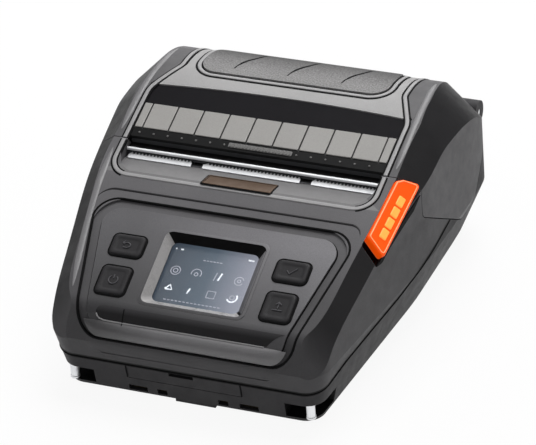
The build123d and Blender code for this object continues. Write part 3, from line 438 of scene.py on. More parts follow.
def joined(pieces, name):
    """Joins pieces that are one moulding into one object."""
    rest_hands()
    for piece in pieces:
        piece.select_set(True)
    bpy.context.view_layer.objects.active = pieces[0]
    bpy.ops.object.join()
    piece = bpy.context.object
    piece.name = piece.data.name = name
    return piece


def copy_of(piece, name, matrix):
    """A copy with its own mesh, moved by the matrix in its mesh."""
    copy = piece.copy()
    copy.data = piece.data.copy()
    copy.name = copy.data.name = name
    bpy.context.scene.collection.objects.link(copy)
    copy.data.transform(matrix)
    return copy


def shift(x=0.0, y=0.0, z=0.0):
    return Matrix.Translation((x * MM, y * MM, z * MM))


# Finishes


def linear(red, green, blue):
    """A colour given in 0 to 255 steps as a screen shows it, as Blender's linear colour."""
    made = []
    for value in (red, green, blue):
        value /= 255
        made.append(value / 12.92 if value <= 0.04045 else ((value + 0.055) / 1.055) ** 2.4)
    return (*made, 1.0)


def node_group(name, inputs, outputs):
    """A new shader node group with its sockets; gives its inputs and its output node."""
    group = bpy.data.node_groups.new(name, "ShaderNodeTree")
    for direction, sockets in (("INPUT", inputs), ("OUTPUT", outputs)):
        for label, kind, default in sockets:
            socket = group.interface.new_socket(name=label, in_out=direction, socket_type=kind)
            if default is not None:
                socket.default_value = default
    return group, group.nodes.new("NodeGroupInput").outputs, group.nodes.new("NodeGroupOutput")


FLOAT, COLOUR, VECTOR = "NodeSocketFloat", "NodeSocketColor", "NodeSocketVector"
MASK_ONLY = [("Mask", FLOAT, None)]
COLOUR_AND_SURFACE = [("Colour", COLOUR, None), ("Roughness", FLOAT, None), ("Height", FLOAT, None)]


def feed(tree, socket, value):
    """Links an output to a socket, or sets the socket to a plain value."""
    if isinstance(value, bpy.types.NodeSocket):
        tree.links.new(value, socket)
    elif value is not None:
        socket.default_value = value


def feed_all(tree, node, **values):
    """Feeds a node's inputs by their names, in which a low line stands for a space."""
    for label, value in values.items():
        feed(tree, node.inputs[label.replace("_", " ")], value)


def add_node(tree, kind, sockets=(), **settings):
    """A new node with its settings, whose first inputs are fed in turn."""
    node = tree.nodes.new("ShaderNode" + kind)
    for name, value in settings.items():
        setattr(node, name, value)
    for socket, value in zip(node.inputs, sockets):
        feed(tree, socket, value)
    return node


def math_node(tree, operation, first, second=None, clamp=False):
    node = add_node(tree, "Math", (first, second), operation=operation, use_clamp=clamp)
    return node.outputs[0]


def dot_node(tree, first, second):
    node = add_node(tree, "VectorMath", (first, second), operation="DOT_PRODUCT")
    return node.outputs["Value"]


def split_node(tree, vector):
    """The three coordinates of a vector."""
    return add_node(tree, "SeparateXYZ", (vector,)).outputs


def mix_node(tree, factor, first, second, blend="MIX"):
    node = add_node(tree, "Mix", (factor,), data_type="RGBA", blend_type=blend)
    for number, value in ((6, first), (7, second)):
        feed(tree, node.inputs[number], value)
    return node.outputs[2]


def tint_node(tree, colour, tint, factor=1.0):
    """A colour made darker, or paler where the tint is above 1."""
    return mix_node(tree, factor, colour, (tint, tint, tint, 1), "MULTIPLY")


def noise_node(tree, vector, scale, detail=3.0, roughness=0.5):
    node = add_node(tree, "TexNoise")
    feed_all(tree, node, Vector=vector, Scale=scale, Detail=detail, Roughness=roughness)
    return node.outputs[0]


def range_node(tree, value, from_low, from_high, to_low, to_high):
    return add_node(tree, "MapRange", (value, from_low, from_high, to_low, to_high)).outputs[0]


def make_moulded_group():
    """Moulded plastic: fine spark-eroded grain, slow tone changes and handling marks."""
    group, given, out = node_group(
        "moulded_plastic",
        [
            ("Vector", VECTOR, None), ("Colour", COLOUR, (0.1, 0.1, 0.1, 1)),
            ("Grain per metre", FLOAT, 2600.0), ("Grain tone", FLOAT, 0.1),
            ("Tone change", FLOAT, 0.08), ("Roughness", FLOAT, 0.5),
            ("Roughness change", FLOAT, 0.08),
        ],
        COLOUR_AND_SURFACE,
    )

    def swing(noise, low, amount):
        """A change to both sides of the mean, as large as the input of that name says."""
        either_way = range_node(group, noise, low, 0.7, -1.0, 1.0)
        return math_node(group, "MULTIPLY", either_way, given[amount])

    vector, colour = given["Vector"], given["Colour"]
    grain = noise_node(group, vector, given["Grain per metre"], 2.0, 0.6)
    slow = noise_node(group, vector, 28.0, 4.0, 0.55)
    marks = noise_node(group, vector, 170.0, 5.0, 0.7)
    both = math_node(group, "ADD", swing(grain, 0.3, "Grain tone"), swing(slow, 0.3, "Tone change"))
    share = math_node(group, "ADD", both, 0.5, clamp=True)
    dark, pale = tint_node(group, colour, 0.66), tint_node(group, colour, 1.35)
    feed_all(
        group, out, Colour=mix_node(group, share, dark, pale),
        Roughness=math_node(
            group, "ADD", given["Roughness"], swing(marks, 0.35, "Roughness change"), clamp=True
        ),
        Height=grain,
    )
    return group


def make_edge_wear_and_highlight_group():
    """Rubbed edges and a painted edge highlight: a mask that is 1 on a sharp outer edge and breaks
    up along it.
    """
    group, given, out = node_group(
        "rubbed_edges",
        [("Vector", VECTOR, None), ("Width", FLOAT, 0.0004), ("Strength", FLOAT, 0.6)],
        MASK_ONLY,
    )
    rounded_normal = add_node(group, "Bevel", (given["Width"],), samples=4).outputs[0]
    true_normal = add_node(group, "NewGeometry").outputs["Normal"]
    edge = range_node(group, dot_node(group, rounded_normal, true_normal), 0.99, 0.85, 0.0, 1.0)
    patches = noise_node(group, given["Vector"], 320.0, 4.0)
    worn_and_lit = math_node(group, "MULTIPLY", edge, range_node(group, patches, 0.3, 0.62, 0.25, 1.0))
    feed_all(group, out, Mask=math_node(group, "MULTIPLY", worn_and_lit, given["Strength"], clamp=True))
    return group


def make_brushed_group():
    """Drawn or ground metal: long fine scratches along one direction."""
    group, given, out = node_group(
        "brushed_metal",
        [
            ("Vector", VECTOR, None), ("Colour", COLOUR, (0.8, 0.8, 0.8, 1)),
            ("Roughness", FLOAT, 0.3), ("Contrast", FLOAT, 0.2),
        ],
        COLOUR_AND_SURFACE,
    )
    vector, colour = given["Vector"], given["Colour"]
    stretch = add_node(group, "Mapping")
    feed_all(group, stretch, Vector=vector, Scale=(40.0, 4000.0, 4000.0))
    lines = noise_node(group, stretch.outputs[0], 1.0, 3.0, 0.6)
    spots = noise_node(group, vector, 120.0, 4.0, 0.6)
    share = math_node(group, "MULTIPLY", lines, given["Contrast"], clamp=True)
    feed_all(
        group, out,
        Colour=mix_node(group, share, colour, tint_node(group, colour, 0.72)),
        Roughness=math_node(
            group, "MULTIPLY", range_node(group, spots, 0.3, 0.7, 0.8, 1.25), given["Roughness"]
        ),
        Height=lines,
    )
    return group


def make_facet_shade_group():
    """Painted shade where the skin slants: a soft mask of the shoulder's facets, beyond the crest,
    where they are darkened.
    """
    group, given, out = node_group("slanted_skin", [("Vector", VECTOR, None)], MASK_ONLY)
    lean = split_node(group, add_node(group, "TexCoord").outputs["Normal"])
    side = math_node(group, "ABSOLUTE", lean["X"])
    over = range_node(group, side, 0.42, 0.64, 0.0, 1.0)
    under = range_node(group, side, 0.76, 0.99, 1.0, 0.0)
    upward = range_node(group, lean["Z"], 0.12, 0.5, 0.0, 1.0)
    away = math_node(group, "ABSOLUTE", split_node(group, given["Vector"])["X"])
    beyond = range_node(group, away, 50 * MM, 54 * MM, 0.0, 1.0)
    slanted = math_node(group, "MULTIPLY", math_node(group, "MULTIPLY", over, under), upward)
    feed_all(group, out, Mask=math_node(group, "MULTIPLY", slanted, beyond))
    return group


def make_seam_group():
    """The shadow in the seam between the upper and lower case, along both sides and the front."""
    group, given, out = node_group("seam_shadow", [("Vector", VECTOR, None)], MASK_ONLY)
    spot = split_node(group, given["Vector"])
    height = SEAM_COURSE[0][1] * MM
    for (low_y, low_z), (high_y, high_z) in zip(SEAM_COURSE, SEAM_COURSE[1:]):
        part = range_node(group, spot["Y"], low_y * MM, high_y * MM, 0.0, (high_z - low_z) * MM)
        height = math_node(group, "ADD", part, height)
    gap = math_node(group, "ABSOLUTE", math_node(group, "SUBTRACT", spot["Z"], height))
    near = range_node(group, gap, SEAM_HALF * MM, (SEAM_HALF + 0.3) * MM, 1.0, 0.0)
    end = SEAM_COURSE[-1][0] + 0.5
    ahead = range_node(group, spot["Y"], end * MM, (end + 0.5) * MM, 1.0, 0.0)
    feed_all(group, out, Mask=math_node(group, "MULTIPLY", near, ahead))
    return group


def make_painted_light_fade_group():
    """Painted light and shade: a slow change of tone along one direction, 0 at its start and 1 at
    its end.
    """
    group, given, out = node_group(
        "tone_fade",
        [
            ("Vector", VECTOR, None), ("Direction", VECTOR, (0.0, 0.0, 1.0)),
            ("Start", FLOAT, 0.0), ("End", FLOAT, 0.01),
        ],
        MASK_ONLY,
    )
    along = dot_node(group, given["Vector"], given["Direction"])
    feed_all(group, out, Mask=range_node(group, along, given["Start"], given["End"], 0.0, 1.0))
    return group


GROUPS = {
    "moulded_plastic": make_moulded_group, "rubbed_edges": make_edge_wear_and_highlight_group,
    "brushed_metal": make_brushed_group, "slanted_skin": make_facet_shade_group,
    "seam_shadow": make_seam_group, "tone_fade": make_painted_light_fade_group,
}


def place_group(tree, name, vector, **values):
    """Puts a shared effect into a material with its own values; the group is built once."""
    group = bpy.data.node_groups.get(name) or GROUPS[name]()
    node = add_node(tree, "Group", node_tree=group)
    feed_all(tree, node, Vector=vector, **values)
    return node.outputs


def new_surface(name):
    """A material with its shader, its output and the piece's own coordinates."""
    material = bpy.data.materials.new(name)
    material.use_nodes = True
    tree = material.node_tree
    tree.nodes.clear()
    shader = add_node(tree, "BsdfPrincipled")
    add_node(tree, "OutputMaterial", (shader.outputs[0],))
    return material, tree, shader, add_node(tree, "TexCoord").outputs["Object"]


def mix_in_shader(tree, share, first, second):
    """Sends a mix of two shaders to the tree's output."""
    mix = add_node(tree, "MixShader", (share, first.outputs[0], second.outputs[0]))
    output = next(node for node in tree.nodes if node.type.startswith("OUTPUT"))
    feed(tree, output.inputs[0], mix.outputs[0])


def bump_from(tree, shader, height, strength, depth):
    """Fine relief on a shader, as deep as the given depth in metres."""
    bump = add_node(tree, "Bump")
    feed_all(tree, bump, Strength=strength, Distance=depth, Height=height)
    feed_all(tree, shader, Normal=bump.outputs[0])


SEAM_BLACK = (0.002, 0.002, 0.002, 1)


def plastic(
    name, colour, roughness=0.5, grain=2600.0, grain_tone=0.12, tone=0.1, depth=0.00006,
    gloss=0.5, edge=(0.0004, 0.5), edge_colour=None, rough_change=0.07, glow=0.0,
    facet=None, seam=False, painted_light_fades=(),
):
    """Moulded plastic. A fade is (direction, start, end, tint) and paints light or shade along one
    direction; a glow lights the colour itself, as painted light.
    """
    material, tree, shader, vector = new_surface(name)
    body = place_group(
        tree, "moulded_plastic", vector, Colour=colour, Grain_per_metre=grain,
        Grain_tone=grain_tone, Tone_change=tone, Roughness=roughness, Roughness_change=rough_change,
    )
    base = body["Colour"]
    # Each fade tints the colour paler or darker along one direction: painted light and shade.
    for direction, start, end, tint in painted_light_fades:
        fade = place_group(
            tree, "tone_fade", vector, Direction=direction, Start=start * MM, End=end * MM
        )
        base = tint_node(tree, base, tint, fade["Mask"])
    # Painted shade: the slanted shoulder faces take the darker facet colour.
    if facet:
        base = mix_node(tree, place_group(tree, "slanted_skin", vector)["Mask"], base, facet)
    if edge:
        # The pale edge colour is partly rubbed wear and partly a painted highlight along the edges.
        wear_and_highlight = place_group(tree, "rubbed_edges", vector, Width=edge[0], Strength=edge[1])
        pale = edge_colour or tuple(min(1.0, c * 1.9 + 0.02) for c in colour[:3]) + (1.0,)
        base = mix_node(tree, wear_and_highlight["Mask"], base, pale)
    if seam:
        base = mix_node(tree, place_group(tree, "seam_shadow", vector)["Mask"], base, SEAM_BLACK)
    feed_all(
        tree, shader, Base_Color=base, Roughness=body["Roughness"], Specular_IOR_Level=gloss
    )
    bump_from(tree, shader, body["Height"], 0.6, depth)
    if glow:
        feed_all(tree, shader, Emission_Color=base, Emission_Strength=glow)
    return material


def metal(name, colour, roughness=0.3, contrast=0.5):
    """Drawn or ground metal."""
    material, tree, shader, vector = new_surface(name)
    body = place_group(
        tree, "brushed_metal", vector, Colour=colour, Roughness=roughness, Contrast=contrast
    )
    feed_all(tree, shader, Base_Color=body["Colour"], Roughness=body["Roughness"], Metallic=1.0)
    bump_from(tree, shader, body["Height"], 0.4, 0.00001)
    return material


def rubber(name, colour, roughness=0.8, grain=1800.0, painted_light_fades=()):
    """Soft rubber with a coarse grain and hardly any gloss."""
    return plastic(
        name, colour, roughness, grain, grain_tone=0.55, tone=0.16, depth=0.00014, gloss=0.1,
        edge=(0.0005, 0.35), rough_change=0.05, painted_light_fades=painted_light_fades,
    )


def lens_surface(name):
    """The clear lens: glass with a faint film of finger marks in its roughness."""
    material, tree, shader, vector = new_surface(name)
    marks = noise_node(tree, vector, 90.0, 4.0, 0.65)
    feed_all(
        tree, shader, Roughness=range_node(tree, marks, 0.45, 0.75, 0.01, 0.05),
        Base_Color=(0.97, 0.98, 1.0, 1), Transmission_Weight=1.0, IOR=1.45,
    )
    mix_in_shader(tree, 0.16, add_node(tree, "BsdfTransparent"), shader)
    return material


def light_up(tree, shader, base, tone, strength, roughness):
    """Makes a shader glow in a tone over its own base."""
    feed_all(
        tree, shader, Base_Color=base, Emission_Color=tone, Emission_Strength=strength,
        Roughness=roughness,
    )


def display_surface(name, strength):
    """The lit display: a grey blue ground that grows paler to the right."""
    material, tree, shader, vector = new_surface(name)
    across = range_node(tree, split_node(tree, vector)["X"], -21 * MM, 22 * MM, 0.0, 1.0)
    colours = add_node(tree, "ValToRGB", (across,))
    ramp = colours.color_ramp.elements
    ramp[0].color = linear(58, 66, 76)
    ramp[1].color = linear(150, 152, 164)
    ramp.new(0.5).color = linear(84, 96, 108)
    cells = add_node(tree, "TexVoronoi")
    feed_all(tree, cells, Vector=vector, Scale=2400.0)
    grid = range_node(tree, cells.outputs["Distance"], 0.0, 0.9, 0.0, 0.1)
    tone = mix_node(tree, grid, colours.outputs[0], (0.02, 0.03, 0.04, 1))
    base = mix_node(tree, 0.7, tone, (0.01, 0.01, 0.012, 1))
    light_up(tree, shader, base, tone, strength, 0.25)
    return material


def lit_surface(name, colour, strength):
    """The display's lit signs, with the fine unevenness of its cells."""
    material, tree, shader, vector = new_surface(name)
    cells = noise_node(tree, vector, 900.0, 2.0)
    tone = mix_node(tree, range_node(tree, cells, 0.3, 0.7, 0.0, 0.4), colour, (0.1, 0.11, 0.13, 1))
    light_up(tree, shader, tone, tone, strength, 0.5)
    return material


def board_surface(name, colour):
    """Circuit board: solder resist over a faint grid of tracks."""
    material, tree, shader, vector = new_surface(name)
    bricks = add_node(tree, "TexBrick")
    feed_all(
        tree, bricks, Vector=vector, Scale=260.0, Mortar_Size=0.03, Color1=colour,
        Color2=tuple(c * 0.8 for c in colour[:3]) + (1,),
        Mortar=tuple(min(1, c * 1.8) for c in colour[:3]) + (1,),
    )
    patches = noise_node(tree, vector, 200.0)
    feed_all(
        tree, shader, Base_Color=bricks.outputs["Color"],
        Roughness=range_node(tree, patches, 0.3, 0.7, 0.25, 0.45),
    )
    bump_from(tree, shader, bricks.outputs["Fac"], 0.5, 0.00005)
    return material


RIGHT, BACK, UP = (1.0, 0.0, 0.0), (0.0, 1.0, 0.0), (0.0, 0.0, 1.0)
LEVER_PLASTIC = {
    "roughness": 0.4, "grain": 900.0, "grain_tone": 0.06, "tone": 0.08, "depth": 0.00002,
    "gloss": 0.25, "edge_colour": "lever_edge",
}
SMOOTH_WHITE = {"roughness": 0.45, "grain": 1800.0, "grain_tone": 0.05, "tone": 0.06}

# Each finish: how it is made, its colour as 0 to 255 steps or as one of the panel's colours, and
# what else it is given.
SURFACES = {
    # The upper case: painted shade on its slanted facets, and painted light that makes it paler
    # from 48 mm up to 60 mm.
    "shell_dark": (plastic, "shell", {
        "roughness": 0.55, "gloss": 0.28, "facet": "facet", "seam": True,
        "painted_light_fades": [(UP, 48, 60, 1.6)],
    }),
    # A pale bead colour that paints the highlight along the shoulders.
    "ridge_grey": (plastic, (126, 125, 127), {"roughness": 0.4}),
    # The lid: painted shade on its slanted facets.
    "lid_dark": (plastic, "lid", {"gloss": 0.3, "facet": "facet"}),
    # Near black painted shade in and round the strap loops at the front corners.
    "loop_black": (plastic, (18, 18, 19), {"gloss": 0.3}),
    # The lid's cover is paler than its shell: partly its own tone, partly painted light on its
    # upward face.
    "lid_band": (plastic, "lid_band", {"roughness": 0.45}),
    # Pale colour that paints the highlight on the raised lips, rims and the groove's lower edge.
    "lip_pale": (plastic, "lip", {"roughness": 0.42}),
    # Near black painted shade, laid in gaps, seams and grooves and beside raised edges.
    "seal_black": (plastic, (14, 14, 15), {"roughness": 0.7, "gloss": 0.1, "edge": None}),
    # Painted shade in the panel's groove, darker towards its foot.
    "groove_dark": (plastic, (70, 69, 71), {
        "roughness": 0.6, "gloss": 0.15, "edge": None, "painted_light_fades": [(UP, 41.6, 39.4, 0.4)],
    }),
    # A grey line of painted shade under the raised frame round the panel.
    "line_grey": (plastic, (50, 49, 51), {"roughness": 0.6, "gloss": 0.15, "edge": None}),
    "bar_black": (plastic, (16, 16, 17), {"gloss": 0.15}),
    # Painted highlight on the bezel's left and lower slopes.
    "bezel_pale": (plastic, (168, 166, 166), {"roughness": 0.3, "edge": (0.0003, 0.4)}),
    "lower_dark": (plastic, "lower", {"roughness": 0.6, "gloss": 0.25, "seam": True}),
    # The panel: painted light that makes it paler to the right, and painted shade that darkens it
    # towards its foot.
    "panel_dark": (plastic, "panel", {
        "roughness": 0.52, "grain_tone": 0.18, "painted_light_fades": [(RIGHT, -35, 40, 1.9), (UP, 58, 44, 0.42)],
    }),
    # The bulge's pale colour paints its highlight; painted shade darkens it towards its left end.
    "bulge_dark": (plastic, (127, 126, 128), {
        "roughness": 0.38, "painted_light_fades": [(RIGHT, -12, -40, 0.4)],
    }),
    # Pale colour that paints the light on the ledge's upward faces.
    "ledge_dark": (plastic, "ledge", {}),
    "key_grey": (plastic, "key", {
        "roughness": 0.6, "grain": 2200.0, "depth": 0.00008, "gloss": 0.2,
    }),
    "sign_grey": (plastic, "sign", {"roughness": 0.6}),
    # The lever's colours glow a little, painted light that keeps the orange bright; its pale edges
    # and rim paint its highlight.
    "lever_orange": (plastic, "lever", {**LEVER_PLASTIC, "edge": (0.0007, 0.8), "glow": 0.45}),
    "lever_mark": (plastic, "lever_mark", {**LEVER_PLASTIC, "edge": (0.0005, 0.6), "glow": 0.5}),
    "lever_pale": (plastic, (255, 172, 120), {"roughness": 0.4, "edge": None, "glow": 0.4}),
    "lens_clear": (lens_surface, None, {}),
    "screen": (display_surface, None, {"strength": 0.9}),
    "screen_sign": (lit_surface, (222, 226, 232), {"strength": 0.85}),
    "screen_faint": (lit_surface, (150, 152, 162), {"strength": 0.8}),
    "stud_grey": (plastic, (112, 111, 110), {}),
    # Painted shade: the pad grows darker towards its rear.
    "pad_grey": (rubber, "pad", {
        "roughness": 0.6, "grain": 1500.0, "painted_light_fades": [(BACK, 50, 68, 0.32)],
    }),
    "window_smoke": (plastic, "window", {
        "grain": 1200.0, "grain_tone": 0.05, "tone": 0.08, "depth": 0.00001, "gloss": 0.04,
        "edge": (0.0004, 0.3),
    }),
    "ramp_grey": (plastic, "ramp", {"grain": 1800.0, "grain_tone": 0.08, "tone": 0.06}),
    "ramp_rib": (plastic, "ramp_rib", {"roughness": 0.6}),
    "metal_bright": (metal, (225, 226, 228), {"roughness": 0.28}),
    "metal_plate": (metal, (160, 162, 166), {"roughness": 0.42}),
    "badge_metal": (metal, "badge", {"roughness": 0.5, "contrast": 0.6}),
    "gold_contact": (metal, (196, 160, 86), {}),
    # Dark, dull contacts: painted shade of the slots that they sit in.
    "contact_dull": (metal, (52, 47, 38), {"roughness": 0.5}),
    "blade_metal": (metal, (246, 247, 249), {"roughness": 0.6, "contrast": 0.25}),
    "platen_black": (rubber, (40, 40, 42), {"roughness": 0.75}),
    "gear_white": (plastic, (205, 202, 192), SMOOTH_WHITE),
    "foot_black": (rubber, (34, 34, 35), {"roughness": 0.85}),
    "board_green": (board_surface, (26, 84, 52), {}),
    "battery_black": (plastic, (48, 48, 50), {"roughness": 0.55}),
    "bay_grey": (plastic, (72, 73, 76), {"roughness": 0.55}),
    "guide_blue": (plastic, (58, 86, 128), {"roughness": 0.45}),
}


def surface(name):
    """The finish of that name, made the first time that it is asked for."""
    label = name + "_finish"
    if label in bpy.data.materials:
        return bpy.data.materials[label]
    make, colour, values = SURFACES[name]
    chosen = bpy.context.scene.printer_colours
    values = {
        key: getattr(chosen, value) if isinstance(value, str) else value
        for key, value in values.items()
    }
    if isinstance(colour, str):
        values["colour"] = getattr(chosen, colour)
    elif colour:
        values["colour"] = linear(*colour)
    return make(label, **values)


def colour_property(name, description, shade):
    return bpy.props.FloatVectorProperty(
        name=name, description=description, subtype="COLOR", size=4, min=0.0, max=1.0,
        default=linear(*shade),
    )


class PrinterColours(bpy.types.PropertyGroup):
    """Colours of the printer's outer pieces"""

    shell: colour_property("Upper case", "Colour of the front shell", (80, 79, 81))
    # The facet colour is painted shade on the shoulder's slanted faces.
    facet: colour_property("Shoulder facet", "Colour of the slanted shoulder faces", (30, 29, 31))
    lid: colour_property("Lid", "Colour of the lid's shell and cheeks", (88, 87, 89))
    # The lid cover colour is partly its own tone and partly painted light on its upward face.
    lid_band: colour_property("Lid cover", "Colour of the lid's centre cover", (158, 157, 157))
    # The lip colour paints the highlight on the raised lips and rims.
    lip: colour_property("Mouth lip", "Colour of the lip round the mouth", (158, 157, 158))
    lower: colour_property("Lower case", "Colour of the tub", (56, 55, 57))
    panel: colour_property("Control panel", "Colour of the control panel", (96, 95, 98))
    # The ledge colour paints the light falling on the ledge's upward faces.
    ledge: colour_property("Ledge", "Colour of the ledge under the mouth", (116, 115, 116))
    key: colour_property("Keys", "Colour of the four keys", (48, 47, 49))
    sign: colour_property("Key signs", "Colour of the raised signs on the keys", (70, 69, 73))
    lever: colour_property("Latch lever", "Colour of the lever", (255, 84, 6))
    # The lever's pale edges and rim are a painted highlight.
    lever_edge: colour_property("Lever edge", "Colour of the lever's pale edges", (252, 164, 110))
    lever_mark: colour_property("Lever marks", "Colour of the lever's raised marks", (255, 172, 78))
    pad: colour_property("Grip pad", "Colour of the ribbed pad", (142, 141, 141))
    window: colour_property("Window", "Colour of the smoked window", (26, 25, 28))
    ramp: colour_property("Ramp tiles", "Colour of the tiles on the exit ramp", (158, 156, 153))
    ramp_rib: colour_property("Ramp base", "Colour between the ramp's tiles", (44, 43, 43))
    badge: colour_property("Badge plate", "Colour of the bare plate on the ledge", (96, 80, 68))


class PrinterSizes(bpy.types.PropertyGroup):
    """Sizes of the printer's detailed pieces"""

    lip_width: bpy.props.FloatProperty(
        name="Lip width", description="Width of the lip at the mouth's sides",
        default=1.7 * MM, min=0.0, unit="LENGTH",
    )
    lip_rise: bpy.props.FloatProperty(
        name="Lip rise", description="How far the lip stands above the shell",
        default=0.4 * MM, min=0.0, unit="LENGTH",
    )
    key_rise: bpy.props.FloatProperty(
        name="Key rise", description="How far a key stands out of the panel",
        default=1.3 * MM, min=0.0, unit="LENGTH",
    )
    tile_rise: bpy.props.FloatProperty(
        name="Tile rise", description="How far a tile stands above the ramp's base",
        default=0.3 * MM, min=0.0, unit="LENGTH",
    )
    lever_rise: bpy.props.FloatProperty(
        name="Lever rise", description="How far the lever stands out of the shoulder",
        default=0.9 * MM, min=0.0, unit="LENGTH",
    )
    lens_to_camera: bpy.props.FloatProperty(
        name="Camera distance", description="Distance from the body's middle to the camera",
        default=1.406, min=0.1, unit="LENGTH",
    )
    camera_turn: bpy.props.FloatProperty(
        name="Camera turn", description="How far the camera stands round to the right",
        default=math.radians(24.4), subtype="ANGLE",
    )
    camera_tilt: bpy.props.FloatProperty(
        name="Camera height", description="How far the camera looks down",
        default=math.radians(33.0), subtype="ANGLE",
    )
    camera_roll: bpy.props.FloatProperty(
        name="Camera roll", description="How far the picture leans",
        default=math.radians(5.0), subtype="ANGLE",
    )


SLOTS = {row["node"]: row["material_slot"] for row in frame["record"]["subparts"]}


class PRINTER_OT_dress_frame(bpy.types.Operator):
    """Gives every solid of the frame its finish, and three of them a second one in places: painted
    light on the ledge, and painted shade in the strap corners and the lid's front well
    """

    bl_idname = "printer.dress_frame"
    bl_label = "Dress the frame"

    # The dock contacts take a dark finish as painted shade of their slots.
    OWN_FINISH = {
        "lid_cover": "lid_band", "exit_ramp": "ramp_rib", "guard_bar": "bar_black",
        "dock_contacts": "contact_dull", "tear_bar": "metal_plate",
    }
    # The strap corners begin beyond this X, end at this Y and are this high; their faces get black
    # painted shade.
    CORNER_X, CORNER_Y, CORNER_Z = 42.6, -69.5, 12.2
    # The lid's front well ends at this Y and is this high; its faces get black painted shade.
    WELL_Y, WELL_Z = 36, 79

    def execute(self, context):
        rest_hands()
        for name, node in sorted(frame["nodes"].items()):
            node.data.materials.clear()
            node.data.materials.append(surface(self.OWN_FINISH.get(name, SLOTS[name])))
            for polygon in node.data.polygons:
                polygon.material_index = 0
        # Painted light: the upward faces of the ledge take a paler colour.
        self.second_finish(
            "upper_case", "ledge_dark",
            lambda centre, normal: normal.z > 0.9 and abs(centre.x) < MOUTH_HALF
            and centre.y > LEDGE_FRONT[0] - 1,
        )
        self.second_finish(
            "lower_case", "loop_black",
            lambda centre, normal: abs(centre.x) > self.CORNER_X and centre.y < self.CORNER_Y
            and centre.z < self.CORNER_Z,
        )
        self.second_finish(
            "lid_shell", "seal_black",
            lambda centre, normal: abs(centre.x) < MOUTH_HALF + 0.5 and centre.y < self.WELL_Y
            and centre.z < self.WELL_Z,
        )
        return {"FINISHED"}

    @staticmethod
    def second_finish(name, finish, test):
        """Gives the faces of a solid that pass a test a second finish."""
        mesh = frame["nodes"][name].data
        mesh.materials.append(surface(finish))
        for polygon in mesh.polygons:
            if test(polygon.center / MM, polygon.normal):
                polygon.material_index = 1


NOSE_ROUND = 9.0
NOSE_REACH = NOSE_ROUND * math.tan((CHIN_SLOPE - PANEL_SLOPE) / 2)
CHIN_LENGTH = (NOSE_Z - BELT_Z) / math.sin(CHIN_SLOPE)
CHIN_SHARE = math.cos(CHIN_SLOPE - PANEL_SLOPE)


def front_point(x, run, out=0.0):
    """A point of the front's skin. Run is the distance up the panel from its nose, or down
    the chin where it is negative; out is the distance off the skin."""
    up = Vector((0, math.cos(PANEL_SLOPE), math.sin(PANEL_SLOPE)))
    down = Vector((0, -math.cos(CHIN_SLOPE), -math.sin(CHIN_SLOPE)))
    nose = Vector((0, NOSE_Y, NOSE_Z))
    panel_out = Vector((0, -math.sin(PANEL_SLOPE), math.cos(PANEL_SLOPE)))
    chin_out = Vector((0, -math.sin(CHIN_SLOPE), math.cos(CHIN_SLOPE)))
    if run >= NOSE_REACH:
        place, normal = nose + up * run, panel_out
    elif run > -NOSE_REACH:
        share = (NOSE_REACH - run) / (2 * NOSE_REACH)
        first, last = nose + up * NOSE_REACH, nose + down * NOSE_REACH
        place = first * (1 - share) ** 2 + nose * 2 * share * (1 - share) + last * share**2
        normal = panel_out.slerp(chin_out, share)
    elif run > -CHIN_LENGTH:
        place, normal = nose - down * run, chin_out
    else:
        place = nose + down * CHIN_LENGTH + Vector((0, 0.09, -1)) * (-run - CHIN_LENGTH)
        normal = Vector((0, -1, 0.09))
    return Vector((x, 0, 0)) + place + normal * out


PANEL_LOW_HALF, PANEL_TOP_HALF, PANEL_LOW, PANEL_TOP, PANEL_CORNER = 42.8, 54.5, -8.0, 49.5, 8.0
PANEL_RECESS = 4.5


def panel_outline(grow, low=None, corner=None):
    """The panel's outline grown all round, as flat (x, v) points that run round once."""
    lean = math.atan2(PANEL_TOP_HALF - PANEL_LOW_HALF, PANEL_TOP - PANEL_LOW)
    low = PANEL_LOW - grow if low is None else low
    top = PANEL_TOP + grow

    def half(v):
        return PANEL_LOW_HALF + grow / math.cos(lean) + (v - PANEL_LOW) * math.tan(lean)

    corner = PANEL_CORNER + grow if corner is None else corner
    return rounded(
        [(-half(low), low), (half(low), low), (half(top), top), (-half(top), top)],
        corner, closed=True, steps=9,
    )


def run_of(v):
    """The panel's outline was cut straight through the nose; this gives its run on the chin."""
    return v if v > 0 else v / CHIN_SHARE


def low_edge(outline):
    """The height of an outline's lower side at X."""
    lower = sorted((p.x, p.y) for p in outline if p.y < PANEL_LOW + 12.0)

    def at(x):
        for (x0, v0), (x1, v1) in zip(lower, lower[1:]):
            if x0 <= x <= x1 and x1 > x0:
                return v0 + (v1 - v0) * (x - x0) / (x1 - x0)
        return lower[0][1]

    return at, lower[-1][0]


def front_bead(name, flat, radius, out, closed=True, fine_ends=0):
    """A thin round bead along a flat outline, laid on the front's skin."""
    flat = dense(flat + flat[:1] if closed else flat, 2.0)
    path = [front_point(p.x, run_of(p.y), out) for p in (flat[:-1] if closed else flat)]
    return line_piece(name, [path], round_section(radius), closed=closed, fine_ends=fine_ends)


def arc(x, y, radius, first=0, last=360, steps=16):
    """Points round a middle, from one angle in degrees to another."""
    turns = [math.radians(first + (last - first) * n / steps) for n in range(steps + 1)]
    return [(x + radius * math.cos(turn), y + radius * math.sin(turn)) for turn in turns]


def key_paths():
    """The raised sign of each key, in the key's own plane: a turned arrow, a ring with a
    stroke, a tick, and an arrow that leaves a slot."""
    bend = [(x, 1.2 / 1.4 * y - 0.2) for x, y in arc(0, 0, 1.4, -80, 90, 10)]
    return {
        "key_back": [
            [(-1.6, -1.4), (0.2, -1.4), *bend[1:], (-2.2, 1.0)],
            [(-1.2, 1.9), (-2.3, 1.0), (-1.2, 0.1)],
        ],
        "key_power": [arc(0, 0, 2.0, 55, -235, 20), [(0, 0.6), (0, 2.6)]],
        "key_enter": [[(-2.0, 0.0), (-0.6, -1.5), (2.2, 1.6)]],
        "key_feed": [
            [(-2.2, -1.8), (2.2, -1.8)], [(0, -1.0), (0, 2.0)], [(-1.2, 0.9), (0, 2.1), (1.2, 0.9)],
        ],
    }


